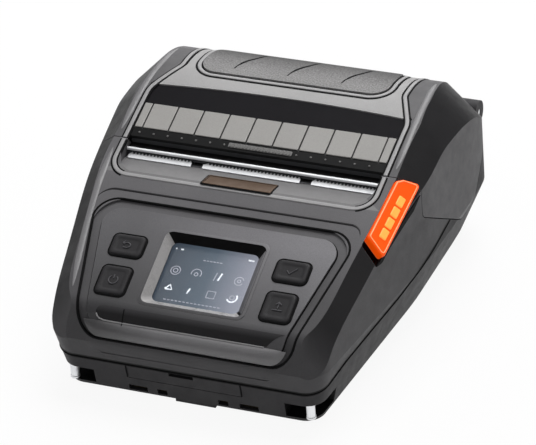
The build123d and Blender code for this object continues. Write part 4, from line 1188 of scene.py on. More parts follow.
class PRINTER_OT_keys(bpy.types.Operator):
    """Four soft keys with rounded shoulders, a dished top, a raised sign and a black ring of
    painted shade round each
    """

    bl_idname = "printer.keys"
    bl_label = "Keys"

    # Each key's body, with its middle and its size on the panel.
    KEYS = {
        "key_back": ("back_key", -37.0, 31.0, 14.5, 10.5),
        "key_power": ("power_key", -37.0, 13.2, 13.0, 14.0),
        "key_enter": ("enter_key", 37.0, 31.0, 14.5, 10.5),
        "key_feed": ("feed_key", 37.0, 13.2, 13.0, 14.0),
    }
    FLANGE, FLANGE_Z, STEM_Z, SEAL_GAP, SIGN_SINK = 1.2, -3.4, -6.9, 0.3, 0.42

    def execute(self, context):
        rise = context.scene.printer_sizes.key_rise / MM
        signs = key_paths()
        for node, (body, x, v, width, height) in self.KEYS.items():
            place = PANEL @ shift(x, v)
            stem = plate(node + "_stem", 4, 4, 0.4, [(0, 3.6)])
            stem.data.transform(shift(z=self.STEM_Z))
            cap = plate(
                node + "_cap", width + 2 * self.FLANGE, height + 2 * self.FLANGE, 2.4,
                [
                    (0, 0.9), (self.FLANGE, 0.0), (0, 1.6 + rise), (0.35, 0.42), (0.45, 0.22),
                    (0.9, 0.05), (0.5, -0.28), (0.8, -0.06),
                ],
            )
            cap.data.transform(shift(z=self.FLANGE_Z))
            cap = joined([cap, stem], node + "_cap")
            finish_piece(cap, body, "key_grey", place, [node], angle=50)
            half_w, half_h = width / 2 + self.SEAL_GAP, height / 2 + self.SEAL_GAP
            ring = rounded(
                [(-half_w, -half_h), (half_w, -half_h), (half_w, half_h), (-half_w, half_h)],
                2.5, closed=True,
            )
            # A black ring of painted shade round the key, where its well lies in shade.
            shade_ring = line_piece(node + "_seal", [ring], round_section(0.55), closed=True)
            finish_piece(shade_ring, "case", "seal_black", place, angle=60)
            sign = line_piece(node + "_sign", signs[node], round_section(0.3))
            place = place @ shift(z=rise - self.SIGN_SINK)
            finish_piece(sign, body, "sign_grey", place, angle=60)
        return {"FINISHED"}


class PRINTER_OT_screen(bpy.types.Operator):
    """The display's picture: plain dials, bars and buttons without words"""

    bl_idname = "printer.screen"
    bl_label = "Screen"

    DISPLAY_Z = -4.76
    FLATNESS = 0.1

    def execute(self, context):
        faint = [
            arc(-14.6, 26.0, 2.1), arc(-14.6, 26.0, 1.0), arc(-5.2, 26.0, 2.2, -30, 200),
            arc(-5.2, 25.6, 0.8), [(3.1, 23.9), (3.7, 27.9)], arc(14.2, 25.6, 2.0, 20, 330, 12),
            arc(14.2, 25.6, 0.7), [(2.7, 15.2), (6.3, 15.2), (6.3, 18.6), (2.7, 18.6), (2.7, 15.2)],
            arc(13.9, 17.2, 1.0), *self.dashes(-15.0, 11.3, 11.0, 15, 1.1),
            *self.dashes(-4.4, 32.9, 4.6, 6, 1.0),
        ]
        bright = [
            [(5.0, 24.2), (5.9, 28.0)],
            [(-16.2, 16.4), (-14.3, 18.7), (-13.0, 16.4), (-16.0, 16.3)],
            [(-6.0, 15.6), (-5.3, 18.4)], arc(13.9, 17.2, 2.2, -150, 40),
            [(-18.2, 36.6), (-17.6, 36.6)], [(-15.8, 36.6), (-14.6, 36.6)],
            [(14.8, 36.4), (17.4, 36.4)],
        ]
        for name, paths, radius, finish in (
            ("display_faint_signs", faint, 0.19, "screen_faint"),
            ("display_bright_signs", bright, 0.36, "screen_sign"),
        ):
            piece = line_piece(name, paths, round_section(radius, 6))
            piece.data.transform(Matrix.Diagonal((1, 1, self.FLATNESS, 1)))
            finish_piece(piece, "case", finish, PANEL @ shift(z=self.DISPLAY_Z))
        return {"FINISHED"}

    @staticmethod
    def dashes(first_x, v, last_x, count, length):
        pitch = (last_x - first_x) / count
        return [[(first_x + pitch * n, v), (first_x + pitch * n + length, v)] for n in range(count)]


class PRINTER_OT_latch_lever(bpy.types.Operator):
    """The orange lever on the right shoulder with its pale edge of painted highlight, its marks and
    its leg, and painted shade in the gap under it
    """

    bl_idname = "printer.latch_lever"
    bl_label = "Latch lever"

    HALF, SKEW, THICK, MARK_PITCH = 14.5, 4.5, 4.2, 6.0

    def execute(self, context):
        rise = context.scene.printer_sizes.lever_rise / MM
        half, skew, low = self.HALF, self.SKEW, FACET_WIDTH + 0.6
        corners = [
            (-half - 0.5, -0.3), (-half - skew, -low), (half + skew + 3.0, -low),
            (half + skew, -3.0), (half + 1.5, -0.3),
        ]
        body = raised(
            flat_shape("lever_body", rounded(corners, 1.2, closed=True, steps=5)),
            [
                (0, self.THICK - 0.55), (0.16, 0.3), (0.3, 0.2), (0.5, 0.05), (0.35, -0.12),
                (0.4, 0.0),
            ],
        )
        tidy_normals(body)
        body.data.transform(shift(z=rise - self.THICK + 0.1))
        leg = plate("lever_leg", 6, 4, 0.5, [(0, 5.9)], 3, (4, -FACET_WIDTH * 0.45))
        leg.data.transform(shift(z=-9.0))
        finish_piece(
            joined([body, leg], "latch_lever_body"), "lever", "lever_orange",
            LEVER, ["latch_lever"], angle=40,
        )
        corners = [
            (-half + 0.2, -0.95), (-half - skew + 1.3, 0.9 - low), (half + skew + 1.8, 0.9 - low),
            (half + skew - 0.7, -3.1), (half + 1.2, -0.95),
        ]
        # A pale rim of painted highlight round the lever's top.
        rim = [(*point, rise + 0.03) for point in rounded(corners, 1.0, closed=True, steps=5)]
        edge = line_piece("lever_edge", [rim], round_section(0.24), closed=True)
        finish_piece(edge, "lever", "lever_pale", LEVER, angle=60)
        self.gap_shade()
        mark = plate("lever_mark_1", 4.9, 3.3, 0.5, [(0, 0.35), (0.2, 0.18), (0.25, 0.05)], 4)
        place = LEVER @ shift(-9.4, -FACET_WIDTH * 0.6, rise - 0.05)
        for n in (1, 2, 3):
            copy = copy_of(mark, f"lever_mark_{n + 1}", shift(x=self.MARK_PITCH * n))
            finish_piece(copy, "lever", "lever_mark", place, angle=40)
        finish_piece(mark, "lever", "lever_mark", place, angle=40)
        return {"FINISHED"}

    def gap_shade(self):
        """A black sheet of painted shade in the gap between the lever's lower edge and the body's
        side.
        """
        first, last = -self.HALF - self.SKEW - 3.5, self.HALF + self.SKEW + 0.5

        def place(across, along):
            run = first + (last - first) * across
            y = (LEVER @ (Vector((run, -FACET_WIDTH, 0)) * MM)).y / MM
            wide = belt_half(y)
            facet_foot = crest_corner_z(y) - (wide - crest_half(y))
            taper = min(1.0, 9.0 * across, 6.0 * (1 - across))
            start = facet_foot - 0.55 - 0.9 * (1 - across)
            return Vector((wide + 0.12, y, start - 2.6 * taper * along))

        shade = skin("lever_gap", 24, 3, place, 0.5)
        finish_piece(shade, "case", "seal_black", angle=60)


class PRINTER_OT_badge_plate(bpy.types.Operator):
    """The bare plate with its raised border on the ledge, on a black rim of painted shade"""

    bl_idname = "printer.badge_plate"
    bl_label = "Badge plate"

    X, RUN = -1.0, -13.6

    def execute(self, context):
        piece = plate(
            "badge_plate", 31.4, 9.0, 0.8,
            [(0, 0.55), (0.15, 0.1), (0.45, 0.0), (0.15, -0.25), (0.3, 0.0)], 4,
        )
        place = LEDGE @ shift(self.X, self.RUN, -0.3)
        finish_piece(piece, "case", "badge_metal", place)
        # A black rim of painted shade round the plate.
        shade_rim = plate("badge_seat", 32.8, 10.4, 1.3, [(0, 0.35), (0.1, 0.08)], 5)
        place = LEDGE @ shift(self.X, self.RUN, -0.42)
        finish_piece(shade_rim, "case", "seal_black", place)
        return {"FINISHED"}


# The strips of painted shade beside the lips and round the pad are this much wider than what they
# flank.
SINK, SHADE_WIDER = 0.9, 1.7


def crest_strip(name, paths, width, proud, body, finish, closed=False):
    """A low strip along paths on the body's rounded top."""
    strip = line_piece(name, paths, strip_section(width, proud, SINK), closed=closed)
    return finish_piece(lay_on_crest(strip), body, finish, angle=50)


class PRINTER_OT_mouth_lips(bpy.types.Operator):
    """The raised lip round the mouth, in one part on the case and one at each side of the lid,
    painted pale as its highlight, with black strips of painted shade under its flanks
    """

    bl_idname = "printer.mouth_lips"
    bl_label = "Mouth lips"

    def execute(self, context):
        sizes = context.scene.printer_sizes
        width, rise = sizes.lip_width / MM, sizes.lip_rise / MM
        side, seam_y, front_y, flank = MOUTH_HALF + 1.4, FRONT_Y + 87.0, -20.4, 7.0
        front = [(-side, seam_y), (-side, front_y), (side, front_y), (side, seam_y)]
        path = dense(rounded(front, [0, 13.0, 13.0, 0], steps=12), 4.0)
        flanks = [[p for p in path if p.x < flank - side], [p for p in path if p.x > side - flank]]
        crest_strip("case_lip", [path], width, rise, "case", "lip_pale")
        crest_strip("case_lip_seat", flanks, width + SHADE_WIDER, 0.1, "case", "seal_black")
        corners = [
            (side, FRONT_Y + 88.0), (side, FRONT_Y + 117.0), (51.9, FRONT_Y + 135.5),
            (51.9, FRONT_Y + 165.0), (46.0, FRONT_Y + 168.5),
        ]
        path = dense(rounded(corners, [0, 14, 9, 4, 0], steps=10), 2.5)
        kinds = {
            "lid_lip": (width, rise, "lid", "lip_pale"),
            "lid_seat": (width + SHADE_WIDER, 0.1, "lid", "seal_black"),
        }
        rights = [crest_strip(name + "_right", [path], *kind) for name, kind in kinds.items()]
        for right, (name, (*_, finish)) in zip(rights, kinds.items()):
            left = copy_of(right, name + "_left", Matrix.Diagonal((-1, 1, 1, 1)))
            finish_piece(left, "lid", finish, angle=50)
        return {"FINISHED"}


class PRINTER_OT_shoulder_lines(bpy.types.Operator):
    """The soft ridge along each shoulder, a low bead painted pale as its highlight: on the case's
    left, and on both sides of the lid
    """

    bl_idname = "printer.shoulder_lines"
    bl_label = "Shoulder lines"

    STEPS = 30

    def execute(self, context):
        for body, label, side, first, last in (
            ("case", "left", -1, -79.0, -3.0), ("lid", "right", 1, 0.0, 66.0),
            ("lid", "left", -1, 0.0, 66.0),
        ):
            path = []
            for n in range(self.STEPS + 1):
                y = first + (last - first) * n / self.STEPS
                path.append((side * (crest_half(y) - 1.7), y, crest_z(y) - 0.25))
            section = round_section(1.5, 16, 0.55)
            ridge = line_piece(f"{body}_ridge_{label}", [path], section, fine_ends=6)
            finish_piece(ridge, body, "ridge_grey", angle=60)
        return {"FINISHED"}


class PRINTER_OT_pad_rim(bpy.types.Operator):
    """The rim round the grip pad on the lid's cover, painted pale as its highlight on a black strip
    of painted shade, and painted shade in the bottoms of its grooves
    """

    bl_idname = "printer.pad_rim"
    bl_label = "Pad rim"

    HALF, FRONT, REAR, RISE = 45.0, 42.1, 75.2, 0.8
    GROOVE_TOP_Z = 81.87

    def execute(self, context):
        corners = [
            (-self.HALF, self.FRONT), (self.HALF, self.FRONT), (self.HALF, self.REAR),
            (-self.HALF, self.REAR),
        ]
        path = rounded(corners, [9.5, 9.5, 9.0, 9.0], closed=True, steps=10)
        path = dense(path + path[:1], 3.0)[:-1]
        crest_strip("pad_seat", [path], 3.6, 0.16, "lid", "seal_black", closed=True)
        crest_strip("pad_rim", [path], 1.7, 0.45, "lid", "lip_pale", closed=True)
        self.groove_fill()
        return {"FINISHED"}

    def groove_fill(self):
        """Painted shade in the bottoms of the pad's three grooves, which run on over its rear."""
        corners = [(-3.0, 49.0), (-1.0, 55.0), (3.0, 61.0), (5.2, 69.0)]
        course = rounded(corners, [0, 22, 16, 0], steps=8)
        paths = []
        for middle in (-25.0, 0.0, 25.0):
            path = []
            for x, y in dense(course, 1.5):
                reach = max(0.0, y - (REAR_Y + 1 - REAR_ROUND))
                top = CREST_Z - REAR_ROUND + math.sqrt((REAR_ROUND + self.RISE) ** 2 - reach**2)
                path.append((middle + x, y, min(top, self.GROOVE_TOP_Z)))
            paths.append(path)
        fill = line_piece("pad_grooves", paths, strip_section(1.4, 0.11, 0.5), fine_ends=3)
        finish_piece(fill, "lid", "seal_black", angle=50)


class PRINTER_OT_exit_tiles(bpy.types.Operator):
    """The pale tiles on the ramp over which the label leaves"""

    bl_idname = "printer.exit_tiles"
    bl_label = "Exit tiles"

    RAMP_RUN, RAMP_RISE, PITCH, END_X = 13.6, 4.2, 12.05, 56.15

    def execute(self, context):
        rise = context.scene.printer_sizes.tile_rise / MM
        length = math.hypot(self.RAMP_RISE, self.RAMP_RUN)
        ramp = frame_matrix(
            (0, FRONT_Y + 94.7, 73.0), (1, 0, 0), (0, -self.RAMP_RISE, self.RAMP_RUN)
        )

        def tile(name, width, x):
            steps = [(0, rise), (0.12, 0.08), (0.2, 0.04)]
            return plate(name, width, length - 0.5, 0.35, steps, 3, (x, length / 2))

        tiles = [tile("exit_tile_1", self.PITCH - 0.75, -4 * self.PITCH)]
        for n in range(1, 9):
            tiles.append(copy_of(tiles[0], f"exit_tile_{n + 1}", shift(x=n * self.PITCH)))
        end = tile("exit_end_right", 3.3, self.END_X)
        tiles += [end, copy_of(end, "exit_end_left", shift(x=-2 * self.END_X))]
        for piece in tiles:
            finish_piece(piece, "lid", "ramp_grey", ramp @ shift(z=-0.05))
        return {"FINISHED"}


def row_of(piece, count, first_x, pitch):
    """Copies of a piece in a row along X; the piece itself is used up."""
    row = [copy_of(piece, f"{piece.name}_{n}", shift(x=first_x + pitch * n)) for n in range(count)]
    bpy.data.objects.remove(piece)
    return row


class PRINTER_OT_guard_bar(bpy.types.Operator):
    """Small studs and a ribbed strip on the guard bar in front of the platen"""

    bl_idname = "printer.guard_bar"
    bl_label = "Guard bar studs"

    STUDS, FIRST_STUD_X, STUD_PITCH = 17, -54.5, 6.6
    TEETH, FIRST_TOOTH_X, TOOTH_PITCH = 19, -12.0, 1.5

    def execute(self, context):
        face = frame_matrix((0, FRONT_Y + 92.2, 72.2), (1, 0, 0), (0, -1.6, 4.1))
        stud = plate("guard_stud", 0.8, 0.8, 0.3, [(0, 0.25), (0.15, 0.12)], 3)
        studs = row_of(stud, self.STUDS, self.FIRST_STUD_X, self.STUD_PITCH)
        strip = plate("guard_strip_base", 29.0, 2.3, 0.4, [(0, 0.3), (0.2, 0.1)], 3, (1.5, 0.2))
        tooth = plate("guard_tooth", 0.8, 1.9, 0.2, [(0, 0.3), (0.12, 0.1)], 2, (0, 0.2))
        tooth.data.transform(shift(z=0.3))
        teeth = row_of(tooth, self.TEETH, self.FIRST_TOOTH_X, self.TOOTH_PITCH)
        for name, pieces in (("guard_studs", studs), ("guard_strip", [strip, *teeth])):
            finish_piece(joined(pieces, name), "lid", "stud_grey", face)
        return {"FINISHED"}


class PRINTER_OT_metal_bars(bpy.types.Operator):
    """The lid's edge bar with its ground front edge, and the toothed tear bar on the ledge"""

    bl_idname = "printer.metal_bars"
    bl_label = "Metal bars"

    BAR_HALF = 58.1
    TOOTH_PITCH, TOOTH_DEPTH, BLADE_DEPTH = 1.6, 1.15, 1.9

    def execute(self, context):
        rear, front = FRONT_Y + 91.1, FRONT_Y + 85.6
        outline = [(front, 66.3), (front, 67.5), (rear, 67.5), (rear, 66.3)]
        bar = soften(side_bar("edge_bar_body", outline, self.BAR_HALF), 0.12)
        finish_piece(bar, "lid", "bar_black", replaces=["edge_bar"])
        outline = [
            (front - 0.25, 66.9), (front - 0.3, 67.7), (front + 0.1, 68.05), (front + 0.95, 68.05),
            (front + 1.1, 67.4),
        ]
        edge = soften(side_bar("edge_bar_ground", outline, self.BAR_HALF), 0.1)
        finish_piece(edge, "lid", "blade_metal", angle=20)
        self.tear_bar()
        return {"FINISHED"}

    def tear_bar(self):
        """Three toothed blades side by side."""
        pitch, tip = self.TOOTH_PITCH, self.BLADE_DEPTH + self.TOOTH_DEPTH
        blades = []
        for low_x, high_x in ((-57.1, -27.6), (-22.3, 22.3), (27.6, 57.1)):
            outline = [(low_x, 0.0), (high_x, 0.0)]
            for n in range(int((high_x - low_x) / pitch)):
                right = high_x - n * pitch
                outline += [(right, self.BLADE_DEPTH), (right - pitch / 2, tip)]
            outline.append((low_x, self.BLADE_DEPTH))
            blades.append(raised(flat_shape("tear_blade", outline), [(0, 0.5)]))
        face = frame_matrix((0, FRONT_Y + 83.3, 64.2), (1, 0, 0), (0, -0.45, 1))
        finish_piece(
            joined(blades, "tear_blades"), "case", "blade_metal", face, angle=25
        )


class PRINTER_OT_panel_trim(bpy.types.Operator):
    """Black lines of painted shade round the panel, a grey line of painted shade under its frame,
    its groove, the bulge under the groove and the chin below
    """

    bl_idname = "printer.panel_trim"
    bl_label = "Panel trim"

    CHIN_V = -9.9

    def execute(self, context):
        inner = panel_outline(PANEL_RECESS, self.CHIN_V, 10.0)
        low, half = low_edge(panel_outline(PANEL_RECESS))
        high, _ = low_edge(inner)

        def chin(across, along):
            x = (2 * across - 1) * (half - 1.0)
            bottom = low(x) - 2.2
            top = max(high(x), bottom + 0.2)
            swell = 0.06 - 0.2 * (1 - along) ** 2
            point = front_point(x, run_of(bottom + (top - bottom) * along), swell)
            point.y = max(point.y, FRONT_Y + 0.1)
            return point

        band = skin("chin_band", 60, 8, chin, 0.9)
        finish_piece(band, "case", "shell_dark", angle=50)
        for name, outline, radius, out in (
            ("panel_seal", inner, 0.62, -0.3),
            ("panel_inner_seal", panel_outline(0.2, -8.4), 0.34, -0.95),
        ):
            bead = front_bead(name, outline, radius, out)
            finish_piece(bead, "case", "seal_black", angle=60)
        course = rounded(
            [(-60.6, 44.0), (-59.0, 58.6), (60.2, 58.6), (58.9, 46.0)], [0, 9, 9, 0], steps=9
        )
        bead = front_bead("frame_line", course, 0.6, -0.34, closed=False, fine_ends=12)
        finish_piece(bead, "case", "line_grey", angle=60)
        self.groove()
        self.bulge()
        return {"FINISHED"}

    @staticmethod
    def groove():
        """Painted shade in the groove across the panel's foot, a painted highlight on its lower
        edge and a black line of painted shade in the joint over it.
        """
        left, right, top, low = -40.0, 43.6, 0.9, -5.3

        def place(across, along):
            lift = 1 - abs(2 * along - 1) ** 2.4
            start = left + 3.4 * (1 - math.sqrt(max(0.0, lift)))
            x = start + (right - 7.0 * (1 - along) ** 0.7 - start) * across
            return front_point(x, low + (top - low) * along, 0.12)

        dark = skin("panel_groove", 40, 10, place, 0.4)
        finish_piece(dark, "case", "groove_dark", angle=50)
        edge = [(-39.8, -3.0), (-39.3, -4.1), (-38.2, -5.0), (-36.4, -5.5)]
        edge += [(x, -5.65) for x in (-33.5, -20, -5, 10, 25, 35.5)]
        joint = [(-27.6 - 0.03 * n, 0.4 - n, 0.85 if n > 6 else 0.2) for n in range(12)]
        for name, path, section, finish in (
            ("groove_line", [(*point, 0.15) for point in edge], round_section(0.3), "lip_pale"),
            ("panel_joint", joint, round_section(0.22, 6), "seal_black"),
        ):
            line = line_piece(name, [[front_point(*point) for point in path]], section)
            finish_piece(line, "case", finish, angle=60)

    @staticmethod
    def bulge():
        """The bulge on the chin under the groove, painted pale as its highlight and darker towards
        its left.
        """
        sides = [p for p in panel_outline(2.6, -9.3, 9.0) if p.x > 0]
        top, low = -6.3, -12.6

        def half(v):
            near = sorted(sides, key=lambda p: abs(p.y - v))[:2]
            (x0, v0), (x1, v1) = near
            return x0 if abs(v1 - v0) < 1e-6 else x0 + (x1 - x0) * (v - v0) / (v1 - v0)

        def place(across, along):
            run = top + (low - top) * along
            x = (2 * across - 1) * (half(run * CHIN_SHARE) - 0.6)
            end = max(0.0, 1 - abs(2 * across - 1) ** (6 if across < 0.5 else 14))
            return front_point(x, run, 1.6 * math.sin(math.pi * along) ** 0.6 * end - 0.3)

        body = skin("panel_bulge", 60, 12, place, 0.6)
        finish_piece(body, "case", "bulge_dark", angle=60)


SEAM_END_Y = 30.8
FOOT_Z = 0.5


def belt_share(z):
    """How far a height lies on the way from the body's foot to its belt."""
    return min(1.0, (z - FOOT_Z) / (BELT_Z - FOOT_Z))


def seam_z(y):
    """Height of the seam between the upper and the lower case."""
    for (y0, z0), (y1, z1) in zip(SEAM_COURSE, SEAM_COURSE[1:]):
        if y < y1:
            return z0 + (z1 - z0) * max(0.0, y - y0) / (y1 - y0)
    return SEAM_COURSE[-1][1]


def side_outline(share):
    """The body's right half from above, from the middle of its front to its side. Share is 0
    at the foot and 1 at the belt."""
    nose = FRONT_Y + 4.0 * (1 - share)
    corners = [
        (0, nose), (56.5 + 4.5 * share, nose + 0.1), (65.5 + 9.0 * share, FRONT_Y + 98.0),
        (66.5 + 10.5 * share, FRONT_Y + 146.0),
    ]
    return dense(rounded(corners, [0, 8 + 2 * share, 200, 0], steps=10), 1.0)


def at_length(points, share):
    """The point at a share of a path's length."""
    reach = share * sum((b - a).length for a, b in zip(points, points[1:]))
    for before, after in zip(points, points[1:]):
        length = (after - before).length
        if reach <= length:
            return before.lerp(after, reach / length)
        reach -= length
    return points[-1]


class PRINTER_OT_case_seam(bpy.types.Operator):
    """Black beads of painted shade in the seam between the cases and at the edges of the socket
    door
    """

    bl_idname = "printer.case_seam"
    bl_label = "Case seam"

    STEPS = 120
    DOOR_EDGES_X, DOOR_EDGES_Z = (-27.4, 24.2), (10.2, 16.6)

    def execute(self, context):
        low, high = side_outline(0.0), side_outline(1.0)
        path = []
        for n in range(self.STEPS + 1):
            height = SEAM_COURSE[0][1]
            for _ in range(4):
                foot, belt = at_length(low, n / self.STEPS), at_length(high, n / self.STEPS)
                place = foot.lerp(belt, belt_share(height))
                height = seam_z(place.y)
            if place.y > SEAM_END_Y:
                break
            path.append((place.x - 0.1 * min(1.0, place.x / 50), place.y + 0.1, height - 0.2))
        left = [(-x, y, z) for x, y, z in reversed(path[1:])]
        edges = [
            [(x, FRONT_Y + 4.0 * (1 - belt_share(z)) + 0.05, z) for z in self.DOOR_EDGES_Z]
            for x in self.DOOR_EDGES_X
        ]
        lines = (("case_seam", [left + path], 0.46), ("door_edges", edges, 0.34))
        for name, paths, radius in lines:
            bead = line_piece(name, paths, round_section(radius))
            finish_piece(bead, "case", "seal_black", angle=60)
        return {"FINISHED"}


class PRINTER_OT_bezel(bpy.types.Operator):
    """The bezel round the display: painted highlight on the slopes at its left and below, painted
    shade on the ones opposite
    """

    bl_idname = "printer.bezel"
    bl_label = "Bezel"

    X, V, THICK = 0.2, 23.4, 0.1
    PLAIN, BRIGHT, DARK = 0, 1, 2

    def execute(self, context):
        steps = [(0, 0.22), (0.25, 0.12), (0.9, 0.0), (0.3, -0.3), (2.9, -2.9)]
        bezel = plate("bezel", 48.0, 38.6, 3.6, steps)
        self.open_middle(bezel)
        tidy_normals(thicken(bezel, self.THICK))
        finishes = [self.finish_of(polygon) for polygon in bezel.data.polygons]
        place = PANEL @ shift(self.X, self.V, -0.05)
        finish_piece(bezel, "case", "panel_dark", place, angle=25)
        for name in ("bezel_pale", "seal_black"):
            bezel.data.materials.append(surface(name))
        for polygon, finish in zip(bezel.data.polygons, finishes):
            polygon.material_index = finish
        return {"FINISHED"}

    @staticmethod
    def open_middle(bezel):
        """Deletes the two flat faces in the bezel's middle."""
        edit(bezel)
        mesh = bmesh.from_edit_mesh(bezel.data)
        for face in mesh.faces:
            centre = face.calc_center_median() / MM
            face.select_set(abs(face.normal.z) > 0.99 and max(abs(centre.x), abs(centre.y)) < 5)
        mesh.select_flush_mode()
        bmesh.update_edit_mesh(bezel.data)
        bpy.ops.mesh.delete(type="FACE")
        bpy.ops.object.mode_set(mode="OBJECT")

    @classmethod
    def finish_of(cls, polygon):
        centre, normal = polygon.center, polygon.normal
        if abs(normal.z) >= 0.9:
            return cls.PLAIN
        place = centre.x if abs(normal.x) > abs(normal.y) else centre.y
        return cls.BRIGHT if place < 0 else cls.DARK


class PRINTER_OT_strap_pins(bpy.types.Operator):
    """The bright pins in the front corners, with a collar at each end"""

    bl_idname = "printer.strap_pins"
    bl_label = "Strap pins"

    RADIUS, X = 2.1, 53.4

    def execute(self, context):
        pin = raised(
            flat_shape("strap_pin_right", round_section(self.RADIUS, 32)),
            [(0, 0.8), (0.22, 0.2), (0, 5.2), (-0.22, 0.2), (0, 0.8)],
        )
        pin.data.transform(shift(self.X, FRONT_Y + 5.6, 3.4))
        for piece in (pin, copy_of(pin, "strap_pin_left", shift(x=-2 * self.X))):
            finish_piece(
                piece, "case", "blade_metal", replaces=["strap_pins"], angle=35
            )
        return {"FINISHED"}


class PRINTER_OT_feet(bpy.types.Operator):
    """Four rubber feet with a sunk ring round a raised middle on their sole"""

    bl_idname = "printer.feet"
    bl_label = "Rubber feet"

    PLACES = [(-44, -73), (44, -73), (-50, 65), (50, 65)]
    SEAT_Z = 2.43

    def execute(self, context):
        foot = plate(
            "foot", 16, 9, 2.5,
            [(0, 2.0), (0.35, 0.35), (0.2, 0.08), (1.2, 0.0), (0.2, -0.4), (0.8, 0.0), (0.2, 0.3)],
        )
        foot.data.transform(Matrix.Diagonal((1, 1, -1, 1)) @ shift(z=-self.SEAT_Z))
        for n, (x, y) in enumerate(self.PLACES):
            piece = copy_of(foot, f"rubber_foot_{n + 1}", shift(x, y))
            replaces = ["rubber_feet"] if n == 0 else ()
            finish_piece(piece, "case", "foot_black", replaces=replaces)
        bpy.data.objects.remove(foot)
        return {"FINISHED"}


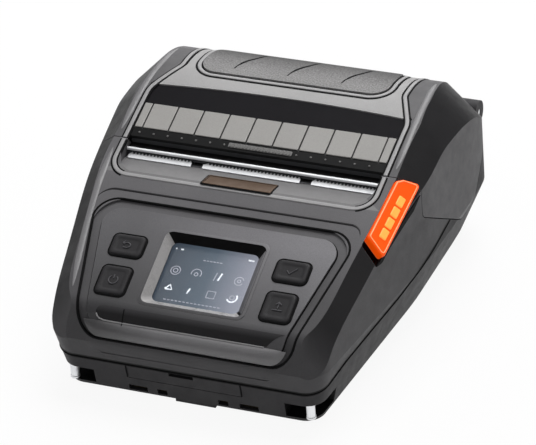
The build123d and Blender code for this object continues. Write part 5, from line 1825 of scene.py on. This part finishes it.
class PRINTER_OT_stage(bpy.types.Operator):
    """A pale floor, soft lamps and the camera at the photograph's place"""

    bl_idname = "printer.stage"
    bl_label = "Stage"

    # Each lamp's place, the point that it is turned to, its size and its power in watts.
    LAMPS = {
        "lamp_above": ((0.1, 0.55, 1.25), (0, 0, 0.04), 0.9, 14.5),
        "lamp_front": ((0.35, -1.5, 0.7), (0, 0, 0.03), 0.9, 2.2),
        "lamp_glint": ((-0.43, -0.11, 1.2), (0, 0, 0.06), 0.14, 0.5),
        "lamp_behind": ((-0.35, 1.4, 0.85), (0, 0, 0.05), 0.9, 6.0),
        "lamp_right": ((1.3, 0.25, 0.5), (0, 0, 0.03), 0.6, 1.3),
        "lamp_left": ((-1.2, -0.35, 0.7), (0, 0, 0.04), 0.4, 2.0),
    }
    FLOOR_GLOW, FLOOR_SHARE = 1.08, 0.85
    WORLD_LIGHT, WORLD_SEEN = 0.14, 1.0
    PHOTO_WIDTH, FOCAL_PIXELS = 536, 3376
    # The camera's shift to its right and upwards, and the point from which its distance counts.
    CAMERA_SHIFT, CAMERA_AIM = (0.0385, 0.0709), (0, -0.085, 0.0025)

    def execute(self, context):
        rest_hands()
        bpy.ops.mesh.primitive_plane_add(size=8.0, location=(0, 0, 0))
        floor = bpy.context.object
        floor.name = "studio_floor"
        floor.data.materials.append(self.floor_surface())
        self.world(context.scene)
        for name, (place, aim, size, power) in self.LAMPS.items():
            self.lamp(name, place, aim, size, power)
        self.camera(context.scene)
        return {"FINISHED"}

    @classmethod
    def floor_surface(cls):
        """A pale floor that keeps the shadow and looks nearly white to the camera."""
        material, tree, shader, vector = new_surface("studio_floor")
        cloud = range_node(tree, noise_node(tree, vector, 3.0, 2.0), 0.3, 0.7, 0.0, 1.0)
        feed_all(
            tree, shader, Roughness=0.9, Specular_IOR_Level=0.1,
            Base_Color=mix_node(tree, cloud, (0.5, 0.5, 0.5, 1), (0.53, 0.53, 0.53, 1)),
        )
        glow = add_node(tree, "Emission", ((1, 1, 1, 1), cls.FLOOR_GLOW))
        path = add_node(tree, "LightPath").outputs
        seen = math_node(tree, "MAXIMUM", path["Is Camera Ray"], path["Is Glossy Ray"])
        mix_in_shader(tree, math_node(tree, "MULTIPLY", seen, cls.FLOOR_SHARE), shader, glow)
        return material

    @classmethod
    def world(cls, scene):
        """A soft grey light from all round, seen as plain white."""
        scene.world = bpy.data.worlds.new("studio")
        scene.world.use_nodes = True
        tree = scene.world.node_tree
        tree.nodes.clear()
        add_node(tree, "OutputWorld")
        light = add_node(tree, "Background", ((1, 1, 1, 1), cls.WORLD_LIGHT))
        white = add_node(tree, "Background", ((1, 1, 1, 1), cls.WORLD_SEEN))
        path = add_node(tree, "LightPath").outputs
        seen = math_node(tree, "MAXIMUM", path["Is Camera Ray"], path["Is Transmission Ray"])
        mix_in_shader(tree, seen, light, white)
        scene.view_settings.view_transform = "Standard"

    @staticmethod
    def lamp(name, place, aim, size, power):
        data = bpy.data.lights.new(name, "AREA")
        data.shape = "DISK"
        data.size = size
        data.energy = power
        lamp = bpy.data.objects.new(name, data)
        bpy.context.scene.collection.objects.link(lamp)
        lamp.location = place
        lamp.rotation_mode = "QUATERNION"
        lamp.rotation_quaternion = (Vector(aim) - Vector(place)).to_track_quat("-Z", "Y")

    @classmethod
    def camera(cls, scene):
        sizes = scene.printer_sizes
        turn, tilt, roll = sizes.camera_turn, sizes.camera_tilt, sizes.camera_roll
        level = math.cos(tilt)
        back = Vector((math.sin(turn) * level, -math.cos(turn) * level, math.sin(tilt)))
        right = Vector((math.cos(turn), math.sin(turn), 0))
        up = back.cross(right)
        x = right * math.cos(roll) - up * math.sin(roll)
        y = right * math.sin(roll) + up * math.cos(roll)
        data = bpy.data.cameras.new("camera")
        data.sensor_width = 36.0
        data.lens = cls.FOCAL_PIXELS / cls.PHOTO_WIDTH * data.sensor_width
        data.clip_start, data.clip_end = 0.05, 20.0
        camera = bpy.data.objects.new("camera", data)
        scene.collection.objects.link(camera)
        matrix = Matrix((x, y, back)).transposed().to_4x4()
        matrix.translation = (
            back * sizes.lens_to_camera + right * cls.CAMERA_SHIFT[0] + up * cls.CAMERA_SHIFT[1]
            + Vector(cls.CAMERA_AIM)
        )
        camera.matrix_world = matrix
        scene.camera = camera


OPERATORS = (
    PRINTER_OT_dress_frame, PRINTER_OT_keys, PRINTER_OT_screen, PRINTER_OT_latch_lever,
    PRINTER_OT_badge_plate, PRINTER_OT_mouth_lips, PRINTER_OT_shoulder_lines, PRINTER_OT_pad_rim,
    PRINTER_OT_exit_tiles, PRINTER_OT_guard_bar, PRINTER_OT_metal_bars, PRINTER_OT_panel_trim,
    PRINTER_OT_case_seam, PRINTER_OT_bezel, PRINTER_OT_strap_pins, PRINTER_OT_feet,
    PRINTER_OT_stage,
)


class PRINTER_PT_pieces(bpy.types.Panel):
    """Lists the printer's pieces in the order in which they are made"""

    bl_label = "Label printer"
    bl_idname = "PRINTER_PT_pieces"
    bl_space_type = "VIEW_3D"
    bl_region_type = "UI"
    bl_category = "Label Printer"

    def draw(self, context):
        for operator in OPERATORS:
            self.layout.operator(operator.bl_idname)
        for group in (context.scene.printer_sizes, context.scene.printer_colours):
            for name in group.__annotations__:
                self.layout.prop(group, name)


CLASSES = (PrinterColours, PrinterSizes, *OPERATORS, PRINTER_PT_pieces)


def register():
    for item in CLASSES:
        bpy.utils.register_class(item)
    bpy.types.Scene.printer_colours = bpy.props.PointerProperty(type=PrinterColours)
    bpy.types.Scene.printer_sizes = bpy.props.PointerProperty(type=PrinterSizes)


def unregister():
    del bpy.types.Scene.printer_sizes
    del bpy.types.Scene.printer_colours
    for item in reversed(CLASSES):
        bpy.utils.unregister_class(item)


def main():
    register()
    for operator in OPERATORS:
        family, name = operator.bl_idname.split(".")
        getattr(getattr(bpy.ops, family), name)()


if __name__ == "__main__":
    main()
